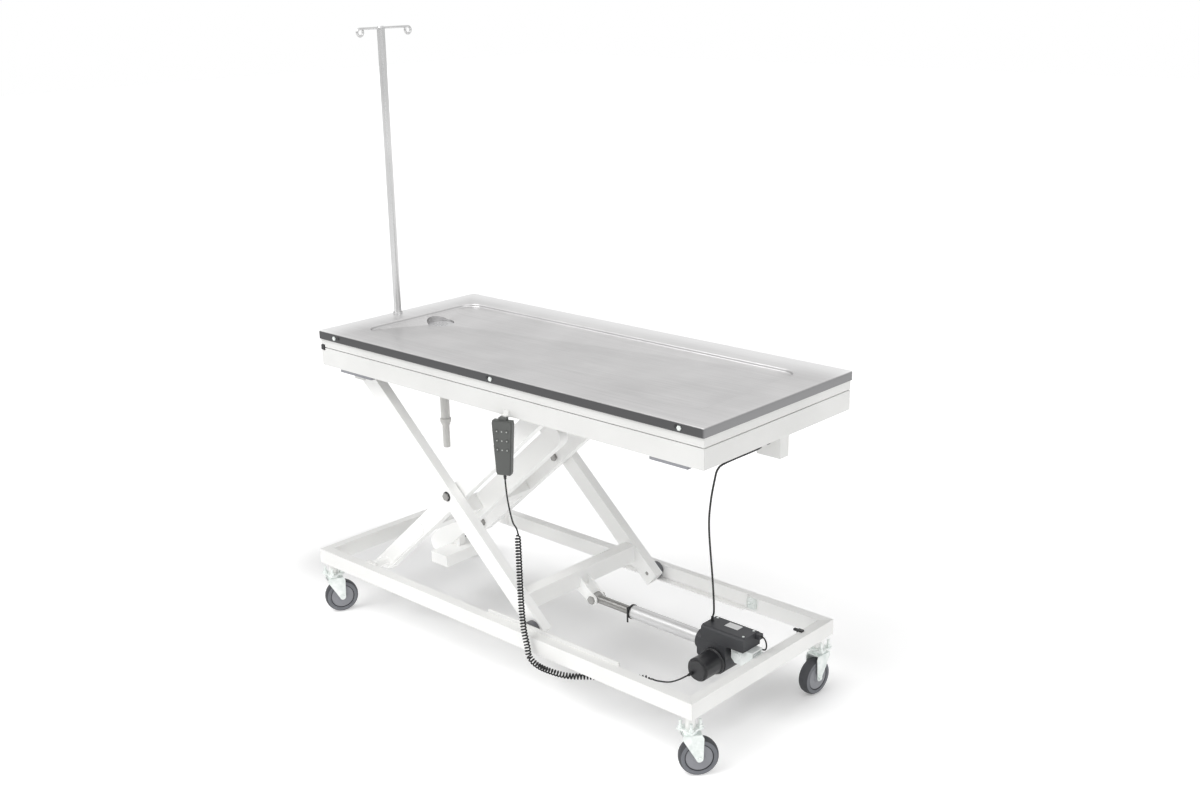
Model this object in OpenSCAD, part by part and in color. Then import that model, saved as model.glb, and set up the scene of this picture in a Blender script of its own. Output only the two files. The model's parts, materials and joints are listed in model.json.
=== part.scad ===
// Veterinary surgery table with an electric scissor lift.
// Millimetres, Z up, floor at z = 0. The long side runs along X, the near side faces -Y.
// Drawn at the lift height of the photograph, with the top level.

/* [Table top] */
// Length of the stainless tray
tray_length = 1400; // [1320:10:1480]
// Width of the stainless tray
tray_width = 600; // [580:5:640]
// Depth of the folded skirt round the tray
skirt_depth = 24; // [16:1:30]
// Sheet thickness of the tray
sheet = 1.5; // [1:0.1:2.5]
// Length of the sunk basin
basin_length = 1215; // [1100:5:1240]
// Width of the sunk basin
basin_width = 410; // [320:5:440]
// Depth of the basin floor at its rim
basin_edge_drop = 9; // [6:1:14]
// Depth of the basin floor at the drain
basin_drain_drop = 27; // [20:1:30]

/* [Lift] */
// Half of the pin to pin length of a scissor arm
arm_half = 440; // [420:5:460]
// Slope of the arms in the drawn pose, degrees
arm_slope = 41.8; // [38:0.1:44]
// Depth of the arm tube across its length
arm_depth = 50; // [44:1:56]
// Thickness of the arm tube along Y
arm_thick = 30; // [24:1:32]
// Radius of the track rollers
roller_r = 23; // [20:0.5:24]
// Radius of the main pivot pins
pin_r = 8; // [6:0.5:9]

/* [Base] */
// Length of the base frame
base_length = 1448; // [1380:4:1500]
// Width of the base frame, and of the frames under the top
base_width = 600; // [590:2:640]
// Height of the base tubes
base_tube_h = 44; // [36:1:50]
// Wall of the square and flat tubes
tube_wall = 2.5; // [1.5:0.25:3]
// Radius of the caster wheels
wheel_r = 50; // [44:1:54]
// Width of the caster wheels
wheel_width = 32; // [26:1:36]
// Distance of a wheel's axle behind its swivel axis
caster_trail = 20; // [14:1:30]

/* [Fittings] */
// Height of the drip pole above the tray rim
pole_rise = 823; // [600:10:900]
// Radius of the drip pole
pole_r = 11; // [9:0.5:12.5]
// Radius of the lift actuator's rod
rod_r = 12; // [9:0.5:13]
// Depth of the hanging handset, top to bottom
handset_height = 145; // [120:5:160]

/* [Hidden] */
$fn = 48;

// Clearances between pieces that move on each other
turn_gap = 0.05;
side_gap = 0.3;
roll_gap = 0.3;
top_roll_gap = 1.5;

// Frame centres along X: the top stands 56 mm further right than the base
top_mid = 40;
base_mid = -16;

// Base
base_x0 = base_mid - base_length / 2;
base_x1 = base_mid + base_length / 2;
tube_w = 30;
base_y = base_width / 2;
base_inner_y = base_y - tube_w;
base_z1 = 207.7;
base_z0 = base_z1 - base_tube_h;

// Scissor
pivot_x = -531;
pivot_z = 200;
arm_run = 2 * arm_half * cos(arm_slope);
arm_rise = 2 * arm_half * sin(arm_slope);
slide_x = pivot_x + arm_run;
mid_x = pivot_x + arm_run / 2;
mid_z = pivot_z + arm_rise / 2;
top_pin_z = pivot_z + arm_rise;
arm_r = arm_depth / 2;
outer_y0 = 215;
outer_y1 = outer_y0 + arm_thick;
inner_y1 = 210;
inner_y0 = inner_y1 - arm_thick;
roller_pin_r = 6;

// Frames under the top
frame_y = 295;
frame_inner_y = frame_y - tube_w;
frame_half_x = tray_length / 2 - sheet - 1.5;
frame_x0 = top_mid - frame_half_x;
frame_x1 = top_mid + frame_half_x;
lift_z0 = top_pin_z + 15;
lift_h = 52;
lift_z1 = lift_z0 + lift_h;
joint_gap = 2.4;
deck_z0 = lift_z1 + joint_gap;
deck_h = 46.5;
deck_z1 = deck_z0 + deck_h;
rim_z = deck_z1 + sheet;

// Tracks
flange = 4;
base_track_y0 = 246;
base_track_x0 = -27;
base_track_x1 = 448;
keeper_t = 6;
keeper_z1 = 217;
ledge_z = pivot_z - roller_r - roll_gap;
top_track_y0 = 148;
top_track_y1 = 177;
top_track_x0 = -80;
top_track_x1 = 330;
cross_bar_w = 40;
track_half = roller_r + top_roll_gap + flange;

// Casters
caster_x = [base_x0 + 25, base_x1 - 25];
caster_y = base_y - 25;
plate_t = 4;
plate_half = 24;
race_z = base_z0 - 35.5 - plate_t;
fork_z1 = race_z - 9.5;
fork_gap = 2;
fork_t = 2.5;

// Tilt
hinge_x = frame_x0 + 7;
hinge_z = lift_z1 + joint_gap / 2;
tilt_x = frame_x1 - tube_w - 17;
tilt_y = 24.5;
tilt_box_z0 = lift_z0 - 56;

// Drain and pole
drain_x = -523;
drain_y = 40;
basin_floor_z = rim_z - basin_drain_drop;
pole_x = -640;
pole_y = -24;

module bar(x0, x1, y0, y1, z0, z1)
    translate([x0, y0, z0])
        cube([x1 - x0, y1 - y0, z1 - z0]);

module both_sides() {
    children();
    mirror([0, 1, 0])
        children();
}

// Rod along Y between two depths
module rod_y(x, z, y0, y1, r)
    translate([x, y1, z])
        rotate([90, 0, 0])
            cylinder(r = r, h = y1 - y0);

// Rod along X
module rod_x(y, z, x0, x1, r)
    translate([x0, y, z])
        rotate([0, 90, 0])
            cylinder(r = r, h = x1 - x0);

// Hexagon head along Y
module hex_y(x, z, y0, y1, r)
    translate([x, y1, z])
        rotate([90, 0, 0])
            cylinder(r = r, h = y1 - y0, $fn = 6);

// Flat profile drawn in X and Z, thick along Y
module slab(y0, y1)
    translate([0, y1, 0])
        rotate([90, 0, 0])
            linear_extrude(height = y1 - y0)
                children();

// Mitred tube along X on the near side, open at its two mitres
module side_tube(x0, x1, y_out, z0, z1)
    difference() {
        translate([0, 0, z0])
            linear_extrude(height = z1 - z0)
                polygon([[x0, -y_out], [x1, -y_out], [x1 - tube_w, tube_w - y_out], [x0 + tube_w, tube_w - y_out]]);
        bar(x0 - 1, x1 + 1, tube_wall - y_out, tube_w - tube_wall - y_out, z0 + tube_wall, z1 - tube_wall);
    }

// Mitred tube along Y with its outer face at x_out; dir is 1 on the right end
module end_tube(x_out, dir, y_out, z0, z1)
    difference() {
        translate([0, 0, z0])
            linear_extrude(height = z1 - z0)
                polygon([[x_out, -y_out], [x_out, y_out], [x_out - dir * tube_w, y_out - tube_w], [x_out - dir * tube_w, tube_w - y_out]]);
        translate([x_out - dir * tube_w / 2, 0, (z0 + z1) / 2])
            cube([tube_w - 2 * tube_wall, 2 * y_out + 2, z1 - z0 - 2 * tube_wall], center = true);
    }

// Places for what turns with the inner and the outer arms: X along the arm, Z across it
module on_inner()
    translate([mid_x, 0, mid_z])
        rotate([0, -arm_slope, 0])
            children();
module on_outer()
    translate([mid_x, 0, mid_z])
        rotate([0, arm_slope, 0])
            children();

// Base frame
module pivot_lug()
    difference() {
        bar(pivot_x - 20, pivot_x + 20, base_inner_y - 8, base_inner_y + 0.5, base_z0 + 6, pivot_z + pin_r + 5);
        rod_y(pivot_x, pivot_z, base_inner_y - 9, base_inner_y, pin_r + turn_gap);
    }
module base_rails() {
    color("white")
        both_sides() {
            side_tube(base_x0, base_x1, base_y, base_z0, base_z1);
            mirror([0, 1, 0])
                pivot_lug();
            for (x = caster_x)
                translate([x, -caster_y, race_z + plate_t])
                    cylinder(r = 13, h = base_z0 - race_z - plate_t);
        }
}
module base_ends() {
    color("white") {
        end_tube(base_x0, -1, base_y, base_z0, base_z1);
        end_tube(base_x1, 1, base_y, base_z0, base_z1);
    }
}
// Rolled channel for a roller, open toward y1
module channel(x0, x1, y0, y1, z_mid)
    difference() {
        bar(x0, x1, y0, y1, z_mid - track_half, z_mid + track_half);
        bar(x0 - 1, x1 + 1, y0 + flange, y1 + 1, z_mid - track_half + flange, z_mid + track_half - flange);
    }
// Ledge under the roller and a keeper strip above it, both on the rail
module base_tracks() {
    color("white")
        both_sides() {
            bar(base_track_x0, base_track_x1, base_track_y0, base_inner_y, ledge_z - flange, ledge_z);
            bar(base_track_x0, base_track_x1, base_inner_y - keeper_t, base_inner_y, ledge_z + turn_gap, keeper_z1);
        }
}
module rail_fittings() {
    color("gainsboro") {
        bar(base_track_x1 + 4, base_track_x1 + 30, base_inner_y - 9, base_inner_y, 176, 206);
        for (dx = [10, 24])
            hex_y(base_track_x1 + dx, 191, base_inner_y - 13, base_inner_y - 9, 4.5);
    }
    color("black") {
        bar(base_x1 - tube_w - 4, base_x1 - tube_w + 12, 178, 190, base_z1, base_z1 + 5);
        bar(base_x1 - tube_w - 4, base_x1 - tube_w, 178, 190, base_z1 - 16, base_z1 + 5);
        bar(base_x1 - tube_w - 16, base_x1 - tube_w - 3, 180, 188, base_z1 - 2, base_z1 + 4);
    }
}

// Casters
// Waisted plate with a bolt standing at each corner
module caster_plate(x, y)
    translate([x, y, race_z]) {
        difference() {
            linear_extrude(height = plate_t)
                difference() {
                    square(2 * plate_half, center = true);
                    for (a = [0 : 90 : 270])
                        rotate(a)
                            translate([plate_half + 22, 0])
                                circle(r = 25);
                }
            translate([0, 0, -1])
                cylinder(r = 6, h = plate_t);
        }
        translate([0, 0, -5])
            difference() {
                cylinder(r = 19, h = 5.5);
                translate([0, 0, -1])
                    cylinder(r = 6, h = 5);
            }
        for (dx = [-1, 1], dy = [-1, 1])
            translate([dx * (plate_half - 7), dy * (plate_half - 7), 0]) {
                translate([0, 0, -3])
                    cylinder(r = 6.5, h = 3, $fn = 6);
                translate([0, 0, plate_t])
                    cylinder(r = 6.5, h = 7, $fn = 6);
                cylinder(r = 4, h = 25);
            }
    }
module caster_plates() {
    color("silver")
        for (x = caster_x, s = [-1, 1])
            caster_plate(x, s * caster_y);
}
// Fork leg: broad at the crown, narrow round the axle
module fork_leg(x0)
    translate([x0, 0, 0])
        rotate([90, 0, 90])
            linear_extrude(height = fork_t)
                difference() {
                    union() {
                        translate([caster_trail, wheel_r])
                            circle(r = 9);
                        polygon([
                            [-20, fork_z1], [-22, fork_z1 - 10], [caster_trail - 8.6, wheel_r - 2.5],
                            [caster_trail + 9, wheel_r], [caster_trail + 11, fork_z1 - 10], [26, fork_z1]
                        ]);
                    }
                    translate([caster_trail, wheel_r])
                        circle(r = 4);
                }
module fork(x, y, turn) {
    leg_x = wheel_width / 2 + fork_gap;
    color("silver")
        translate([x, y, 0])
            rotate([0, 0, turn]) {
                difference() {
                    union() {
                        bar(-leg_x - fork_t, leg_x + fork_t, -20, 26, fork_z1 - fork_t, fork_z1);
                        translate([0, 0, fork_z1])
                            cylinder(r = 18, h = 4.2);
                    }
                    translate([0, 0, fork_z1 - 5])
                        cylinder(r = 5, h = 4);
                }
                fork_leg(leg_x);
                fork_leg(-leg_x - fork_t);
                translate([-leg_x - fork_t - 4, caster_trail, wheel_r])
                    rotate([0, 90, 0])
                        cylinder(r = 6.5, h = 4, $fn = 6);
                translate([leg_x + fork_t, caster_trail, wheel_r])
                    rotate([0, 90, 0])
                        cylinder(r = 6.5, h = 4, $fn = 6);
                translate([-leg_x - fork_t, caster_trail, wheel_r])
                    rotate([0, 90, 0])
                        cylinder(r = 4, h = 2 * (leg_x + fork_t));
            }
}
// Tyre with a rounded tread on a dished hub
module wheel(x, y, turn) {
    half = wheel_width / 2;
    color("gray")
        translate([x, y, 0])
            rotate([0, 0, turn])
                translate([0, caster_trail, wheel_r])
                    rotate([0, 90, 0])
                        rotate_extrude()
                            polygon([
                                [4 + turn_gap, -half - 1.2], [11, -half - 1.2], [13, -half + 3], [wheel_r - 16, -half + 4],
                                [wheel_r - 13, -half + 1], [wheel_r - 5, -half + 1], [wheel_r - 1.2, -half + 6], [wheel_r, -half + 11],
                                [wheel_r, half - 11], [wheel_r - 1.2, half - 6], [wheel_r - 5, half - 1], [wheel_r - 13, half - 1],
                                [wheel_r - 16, half - 4], [13, half - 3], [11, half + 1.2], [4 + turn_gap, half + 1.2]
                            ]);
}
turn_near_left = -25;
turn_near_right = -40;
turn_far_left = -8;
turn_far_right = 175;
module fork_near_left() { fork(caster_x[0], -caster_y, turn_near_left); }
module wheel_near_left() { wheel(caster_x[0], -caster_y, turn_near_left); }
module fork_near_right() { fork(caster_x[1], -caster_y, turn_near_right); }
module wheel_near_right() { wheel(caster_x[1], -caster_y, turn_near_right); }
module fork_far_left() { fork(caster_x[0], caster_y, turn_far_left); }
module wheel_far_left() { wheel(caster_x[0], caster_y, turn_far_left); }
module fork_far_right() { fork(caster_x[1], caster_y, turn_far_right); }
module wheel_far_right() { wheel(caster_x[1], caster_y, turn_far_right); }

// Lift actuator, lying along the middle of the base
mouth_x = 246;
gear_x1 = base_x1 - tube_w - 46;
gear_face = gear_x1 - 28;
tube_x1 = gear_x1 - 135;
gear_top = 222;
gear_half = 36;
motor_x = gear_x1 - 64;
motor_z = 172;
rod_x1 = tube_x1 - 107;
eye_r = 15;
module actuator_tube() {
    color("lightgray")
        difference() {
            rod_x(0, pivot_z, mouth_x + 16, tube_x1, 19);
            rod_x(0, pivot_z, mouth_x + 15, tube_x1 + 1, 15.5);
        }
}
// Wiper at the tube's mouth, held by a tie bent round it
module wiper_ring() {
    color("black") {
        difference() {
            union() {
                rod_x(0, pivot_z, mouth_x + 10, mouth_x + 16, 20.5);
                rod_x(0, pivot_z, mouth_x + 16, mouth_x + 34, 15.5);
            }
            rod_x(0, pivot_z, mouth_x + 9, mouth_x + 35, rod_r + turn_gap);
        }
        bar(mouth_x + 11, mouth_x + 15, -23, -20, pivot_z - 24, pivot_z + 14);
        bar(mouth_x + 11, mouth_x + 15, -23, -12, pivot_z + 12, pivot_z + 20);
    }
}
module gear_housing() {
    color("dimgray")
        difference() {
            union() {
                rod_x(0, pivot_z, tube_x1, tube_x1 + 14, 27);
                rod_x(0, pivot_z, tube_x1 + 6, tube_x1 + 20, 12);
                slab(-gear_half, gear_half)
                    union() {
                        translate([motor_x, motor_z])
                            circle(r = 38);
                        polygon([
                            [tube_x1 + 14, pivot_z - 25], [motor_x - 20, motor_z - 33], [motor_x + 33, motor_z - 18], [gear_face, pivot_z - 16],
                            [gear_face, gear_top], [tube_x1 + 18, gear_top], [tube_x1 + 14, gear_top - 7]
                        ]);
                    }
                slab(-10, 10)
                    union() {
                        translate([gear_x1, pivot_z])
                            circle(r = 14);
                        translate([gear_face - 2, pivot_z - 14])
                            square([gear_x1 - gear_face + 2, 28]);
                    }
            }
            rod_y(gear_x1, pivot_z, -11, 11, 6);
        }
}
module motor() {
    color("black") {
        rod_y(motor_x, motor_z, -104, -gear_half, 32);
        rod_y(motor_x, motor_z, -110, -104, 27);
        rod_y(motor_x, motor_z, -gear_half - 8, -gear_half, 36);
    }
}
// Control box on the gear housing: rounded lid with a bare recess for a label, and a plug block
box_x0 = gear_x1 - 108;
box_x1 = gear_x1 + 28;
box_z1 = 260;
module control_box() {
    color("dimgray") {
        difference() {
            translate([box_x0, 0, gear_top])
                rotate([90, 0, 90])
                    linear_extrude(height = box_x1 - box_x0)
                        union() {
                            translate([-gear_half, 0])
                                square([2 * gear_half, box_z1 - gear_top - 10]);
                            translate([10 - gear_half, 0])
                                square([2 * gear_half - 20, box_z1 - gear_top]);
                            for (side = [-1, 1])
                                translate([side * (gear_half - 10), box_z1 - gear_top - 10])
                                    circle(r = 10);
                        }
            bar(box_x0 + 49, box_x0 + 92, -2, 24, box_z1 - 0.8, box_z1 + 1);
        }
        bar(box_x1, box_x1 + 14, 14, 30, box_z1 - 16, box_z1 - 2);
    }
}
// Folded channel from the end tube to the pin through the housing's lug
bracket_x0 = gear_x1 - 20;
module rear_bracket() {
    rail_x = base_x1 - tube_w;
    color("silver") {
        difference() {
            union() {
                for (side = [-1, 1])
                    slab(side * 20 - 2, side * 20 + 2)
                        polygon([[bracket_x0, 190], [bracket_x0 + 12, 178], [rail_x, 178], [rail_x, gear_top - 2], [bracket_x0, gear_top - 2]]);
                bar(bracket_x0, rail_x, -22, 22, gear_top - 4, gear_top);
                bar(rail_x - 4, rail_x, -28, 28, 178, base_z1);
            }
            rod_y(gear_x1, pivot_z, -23, 23, 6);
        }
        rod_y(gear_x1, pivot_z, -25, 25, 6);
        rod_y(gear_x1, pivot_z, -26, -22, 9);
        rod_y(gear_x1, pivot_z, 22, 26, 9);
    }
}
module actuator_rod() {
    color("silver")
        difference() {
            union() {
                rod_y(slide_x, pivot_z, -12.5, 12.5, eye_r);
                rod_x(0, pivot_z, slide_x + 8, rod_x1, rod_r);
            }
            rod_y(slide_x, pivot_z, -14, 14, 7 + turn_gap);
        }
}

// Tube arm with bushes at its pins, drawn along local X
module arm(y0, y1, lower_cut, hole_low, hole_mid, hole_top)
    difference() {
        union() {
            difference() {
                slab(y0, y1)
                    if (lower_cut) {
                        translate([arm_half, 0])
                            circle(r = arm_r);
                        polygon([[-arm_half - 70, arm_r], [-arm_half - 14, -arm_r], [arm_half, -arm_r], [arm_half, arm_r]]);
                    } else {
                        translate([-arm_half, 0])
                            circle(r = arm_r);
                        translate([-arm_half, -arm_r])
                            square([2 * arm_half + arm_r, arm_depth]);
                    }
                bar(
                    lower_cut ? -arm_half - 80 : 20 - arm_half, lower_cut ? arm_half - 20 : arm_half + arm_r + 1,
                    y0 + tube_wall, y1 - tube_wall, tube_wall - arm_r, arm_r - tube_wall
                );
            }
            for (x = [-arm_half, 0, arm_half])
                rod_y(x, 0, y0, y1, 13);
        }
        rod_y(-arm_half, 0, y0 - 1, y1 + 1, hole_low);
        rod_y(0, 0, y0 - 1, y1 + 1, hole_mid);
        rod_y(arm_half, 0, y0 - 1, y1 + 1, hole_top);
    }
// Inner pair: level cut lower ends on the fixed pivots
module inner_arms() {
    color("white")
        on_inner()
            both_sides() {
                arm(inner_y0, inner_y1, true, pin_r, pin_r + turn_gap, roller_pin_r);
                slab(inner_y1, inner_y1 + 2.5)
                    difference() {
                        union() {
                            translate([-226, 0])
                                circle(r = 20);
                            polygon([[-arm_half - 60, 20], [-arm_half - 16, -20], [-226, -20], [-226, 20]]);
                        }
                        translate([-arm_half, 0])
                            circle(r = pin_r);
                    }
                difference() {
                    rod_y(-arm_half, 0, inner_y1 + 2.5, base_inner_y - 8 - side_gap, pin_r + 5);
                    rod_y(-arm_half, 0, inner_y1 + 2, base_inner_y, pin_r);
                }
            }
}
cross_x0 = -209;
cross_x1 = -164;
module cross_box(wall)
    on_inner()
        bar(cross_x0 + wall, cross_x1 - wall, -inner_y0, inner_y0, wall - arm_r, arm_r - wall);
foot_x0 = -469;
foot_x1 = -399;
foot_z0 = base_z1 - 36;
module foot_box(wall, reach)
    bar(foot_x0 + wall, foot_x1 - wall, -reach, reach, foot_z0 + wall, base_z1 - wall);
module inner_cross_tubes() {
    color("white") {
        difference() {
            cross_box(0);
            cross_box(tube_wall);
        }
        difference() {
            foot_box(0, 90);
            foot_box(tube_wall, 87);
        }
    }
}
// Height just inside the spine's lower wall, where the gusset over the foot ends
function under_spine(x) = mid_z + (x - mid_x - 40 * sin(arm_slope)) * tan(arm_slope) - 40 * cos(arm_slope);
module inner_spine() {
    color("white")
        difference() {
            union() {
                on_inner()
                    slab(-16, 16) {
                        translate([-arm_half, -10])
                            circle(r = 31);
                        translate([-arm_half, -41])
                            square([arm_half + 241, 62]);
                        translate([241, -10])
                            circle(r = 31);
                    }
                slab(-12, 12)
                    polygon([
                        [foot_x0 + 3, base_z1 - 6], [foot_x0 + 3, under_spine(foot_x0 + 3)],
                        [foot_x0 + 41, under_spine(foot_x0 + 41)], [foot_x0 + 41, base_z1 - 6]
                    ]);
            }
            on_inner()
                bar(20 - arm_half, 241, tube_wall - 16, 16 - tube_wall, tube_wall - 41, 21 - tube_wall);
            cross_box(0);
            foot_box(0, 91);
        }
}
module inner_pins() {
    color("silver")
        both_sides() {
            rod_y(pivot_x, pivot_z, inner_y0 - 1, base_inner_y - 0.5, pin_r);
            hex_y(pivot_x, pivot_z, inner_y0 - 8, inner_y0, 12);
            rod_y(slide_x, top_pin_z, top_track_y0 + flange + 1, inner_y1, roller_pin_r);
            hex_y(slide_x, top_pin_z, inner_y1, inner_y1 + 5, 10);
        }
}

// Outer pair, its lower ends rolling in the base tracks
module outer_arms() {
    color("white")
        on_outer()
            both_sides()
                arm(outer_y0, outer_y1, false, pin_r, pin_r, roller_pin_r);
}
bar_x0 = slide_x - 85;
bar_x1 = slide_x - 45;
bar_z0 = pivot_z + 26;
bar_z1 = pivot_z + 76;
module outer_crossbar() {
    color("white")
        difference() {
            bar(bar_x0, bar_x1, -outer_y0, outer_y0, bar_z0, bar_z1);
            bar(bar_x0 + tube_wall, bar_x1 - tube_wall, -outer_y0 - 1, outer_y0 + 1, bar_z0 + tube_wall, bar_z1 - tube_wall);
        }
}
module clevis_plates() {
    color("white")
        both_sides()
            difference() {
                slab(13, 19)
                    union() {
                        translate([slide_x, pivot_z])
                            circle(r = 16);
                        polygon([[bar_x0 + 8, bar_z0], [bar_x1, bar_z0], [bar_x1, bar_z0 + 30], [slide_x + 13, pivot_z + 9], [slide_x - 12, pivot_z - 10.5]]);
                    }
                rod_y(slide_x, pivot_z, 12, 20, 7);
            }
}
module outer_pins() {
    color("silver")
        both_sides() {
            rod_y(mid_x, mid_z, inner_y0 - 8, outer_y1 + 2, pin_r);
            hex_y(mid_x, mid_z, inner_y0 - 8, inner_y0 - side_gap, 12);
            hex_y(mid_x, mid_z, outer_y1, outer_y1 + 7, 12);
            rod_y(mid_x, mid_z, inner_y1 + side_gap, outer_y0, 17);
            rod_y(pivot_x, top_pin_z, outer_y0 - 1, frame_inner_y - 0.5, pin_r);
            hex_y(pivot_x, top_pin_z, outer_y0 - 7, outer_y0, 12);
            rod_y(pivot_x, top_pin_z, outer_y1, frame_inner_y - 8 - side_gap, pin_r + 5);
            rod_y(slide_x, pivot_z, outer_y0 + 1, base_inner_y - keeper_t - 1, roller_pin_r);
        }
    color("black") {
        rod_y(slide_x, pivot_z, -24, 24, 7);
        hex_y(slide_x, pivot_z, -26, -19, 12);
        hex_y(slide_x, pivot_z, 19, 26, 12);
    }
}

// Track rollers
module roller(x, z, y0, y1)
    difference() {
        rod_y(x, z, y0, y1, roller_r);
        rod_y(x, z, y0 - 1, y1 + 1, roller_pin_r + turn_gap);
    }
module base_roller() {
    color("dimgray")
        roller(slide_x, pivot_z, base_track_y0 + 1, base_inner_y - keeper_t - 1);
}
module top_roller() {
    color("dimgray")
        roller(slide_x, top_pin_z, top_track_y0 + flange + 1, top_track_y1 - 1);
}
module base_roller_near() {
    mirror([0, 1, 0])
        base_roller();
}
module base_roller_far() { base_roller(); }
module top_roller_near() {
    mirror([0, 1, 0])
        top_roller();
}
module top_roller_far() { top_roller(); }

// Frame carried by the arms. The hinge sits in a notch shared with the deck frame
module hinge_notch()
    both_sides()
        bar(frame_x0 - 1, hinge_x + 9, 261, frame_y + 1, hinge_z - 8.5, hinge_z + 8.5);
module top_lug()
    difference() {
        bar(pivot_x - 20, pivot_x + 20, frame_inner_y - 8, frame_inner_y + 0.5, top_pin_z - pin_r - 5, lift_z0 + 30);
        rod_y(pivot_x, top_pin_z, frame_inner_y - 9, frame_inner_y, pin_r + turn_gap);
    }
module lift_rails() {
    color("white")
        difference() {
            both_sides() {
                side_tube(frame_x0, frame_x1, frame_y, lift_z0, lift_z1);
                mirror([0, 1, 0])
                    top_lug();
            }
            hinge_notch();
        }
}
module lift_cross_members() {
    bar_low = top_pin_z + track_half;
    color("white") {
        difference() {
            union() {
                end_tube(frame_x0, -1, frame_y, lift_z0, lift_z1);
                end_tube(frame_x1, 1, frame_y, lift_z0, lift_z1);
            }
            hinge_notch();
        }
        for (x = [top_track_x0, top_track_x1 - cross_bar_w])
            difference() {
                bar(x, x + cross_bar_w, -frame_inner_y, frame_inner_y, bar_low, lift_z1);
                bar(x + tube_wall, x + cross_bar_w - tube_wall, -frame_inner_y - 1, frame_inner_y + 1, bar_low + tube_wall, lift_z1 - tube_wall);
            }
    }
}
module lift_tracks() {
    color("white")
        both_sides()
            channel(top_track_x0, top_track_x1, top_track_y0, top_track_y1, top_pin_z);
}
module hinge_blocks() {
    color("black")
        both_sides() {
            bar(hinge_x - 7, hinge_x + 7, frame_y - 17, frame_y + 2, hinge_z - 7, hinge_z + 7);
            rod_y(hinge_x, hinge_z, frame_y - 34, frame_y - 16, 4);
        }
}
module frame_cleats() {
    color("white")
        both_sides()
            for (x = [[-576, -439], [575, 690]])
                bar(x[0], x[1], frame_y - 24, frame_y, lift_z0 - 8, lift_z0);
}
// Tilt motor's housing with the neck that guides its rod
module tilt_housing() {
    color("white")
        difference() {
            union() {
                bar(tilt_x - 30, tilt_x + 40, tilt_y - 17.5, tilt_y + 17.5, tilt_box_z0, lift_z0);
                translate([tilt_x, tilt_y, lift_z0 - 1])
                    cylinder(r = 14, h = lift_h - 2);
            }
            translate([tilt_x, tilt_y, tilt_box_z0 + 5])
                cylinder(r = 7 + turn_gap, h = 200);
        }
}
module tilt_rod() {
    color("silver")
        translate([tilt_x, tilt_y, tilt_box_z0 + 8])
            cylinder(r = 7, h = deck_z0 - roll_gap - tilt_box_z0 - 8);
}
handset_x = 103;
handset_y0 = -325;
handset_y1 = -304;
handset_turn = 22;
// What hangs from the hook is turned about the hook's tongue
module hung()
    translate([handset_x, handset_y1 + 1.5, 0])
        rotate([0, 0, handset_turn])
            translate([-handset_x, -handset_y1 - 1.5, 0])
                children();
module handset_hook() {
    color("silver") {
        bar(handset_x - 9, handset_x + 9, handset_y1 - 4, -frame_y, lift_z0 + 2, lift_z0 + 5);
        bar(handset_x - 9, handset_x + 9, -frame_y - 3, -frame_y, lift_z0 - 1, lift_z0 + 16);
        hung()
            bar(handset_x - 9, handset_x + 9, handset_y1, handset_y1 + 3, lift_z0 - 14, lift_z0 + 5);
    }
}

// Tilting deck
module deck_frame() {
    color("white")
        difference() {
            union() {
                both_sides()
                    side_tube(frame_x0, frame_x1, frame_y, deck_z0, deck_z1);
                end_tube(frame_x0, -1, frame_y, deck_z0, deck_z1);
                end_tube(frame_x1, 1, frame_y, deck_z0, deck_z1);
                bar(tilt_x - 22, frame_x1 - tube_w + 0.5, tilt_y - 16, tilt_y + 16, deck_z0, deck_z0 + 5);
                bar(frame_x1 - tube_w - 5, frame_x1 - tube_w + 0.5, tilt_y - 16, tilt_y + 16, deck_z0, deck_z0 + 30);
                both_sides() {
                    rod_y(hinge_x, hinge_z, 262, frame_y - 17 - side_gap, 6);
                    bar(hinge_x - 6, hinge_x + 6, 262, frame_y - 17 - side_gap, hinge_z, hinge_z + 9);
                }
            }
            difference() {
                hinge_notch();
                both_sides() {
                    rod_y(hinge_x, hinge_z, 262, frame_y - 17 - side_gap, 6);
                    bar(hinge_x - 6, hinge_x + 6, 262, frame_y - 17 - side_gap, hinge_z, hinge_z + 9);
                }
            }
            both_sides()
                rod_y(hinge_x, hinge_z, 261, frame_y - 17, 4 + turn_gap);
            translate([pole_x, pole_y, deck_z0 - 1])
                cylinder(r = pole_r + 3, h = deck_h + 2);
        }
}
// Rounded basin outline, grown by a margin
basin_corner = 45;
module basin_plan(grow) {
    lx = basin_length / 2 + grow;
    ly = basin_width / 2 + grow;
    r = basin_corner + grow;
    square([2 * lx, 2 * (ly - r)], center = true);
    square([2 * (lx - r), 2 * ly], center = true);
    for (sx = [-1, 1], sy = [-1, 1])
        translate([sx * (lx - r), sy * (ly - r)])
            circle(r = r);
}
basin_mid = 37;
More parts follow.
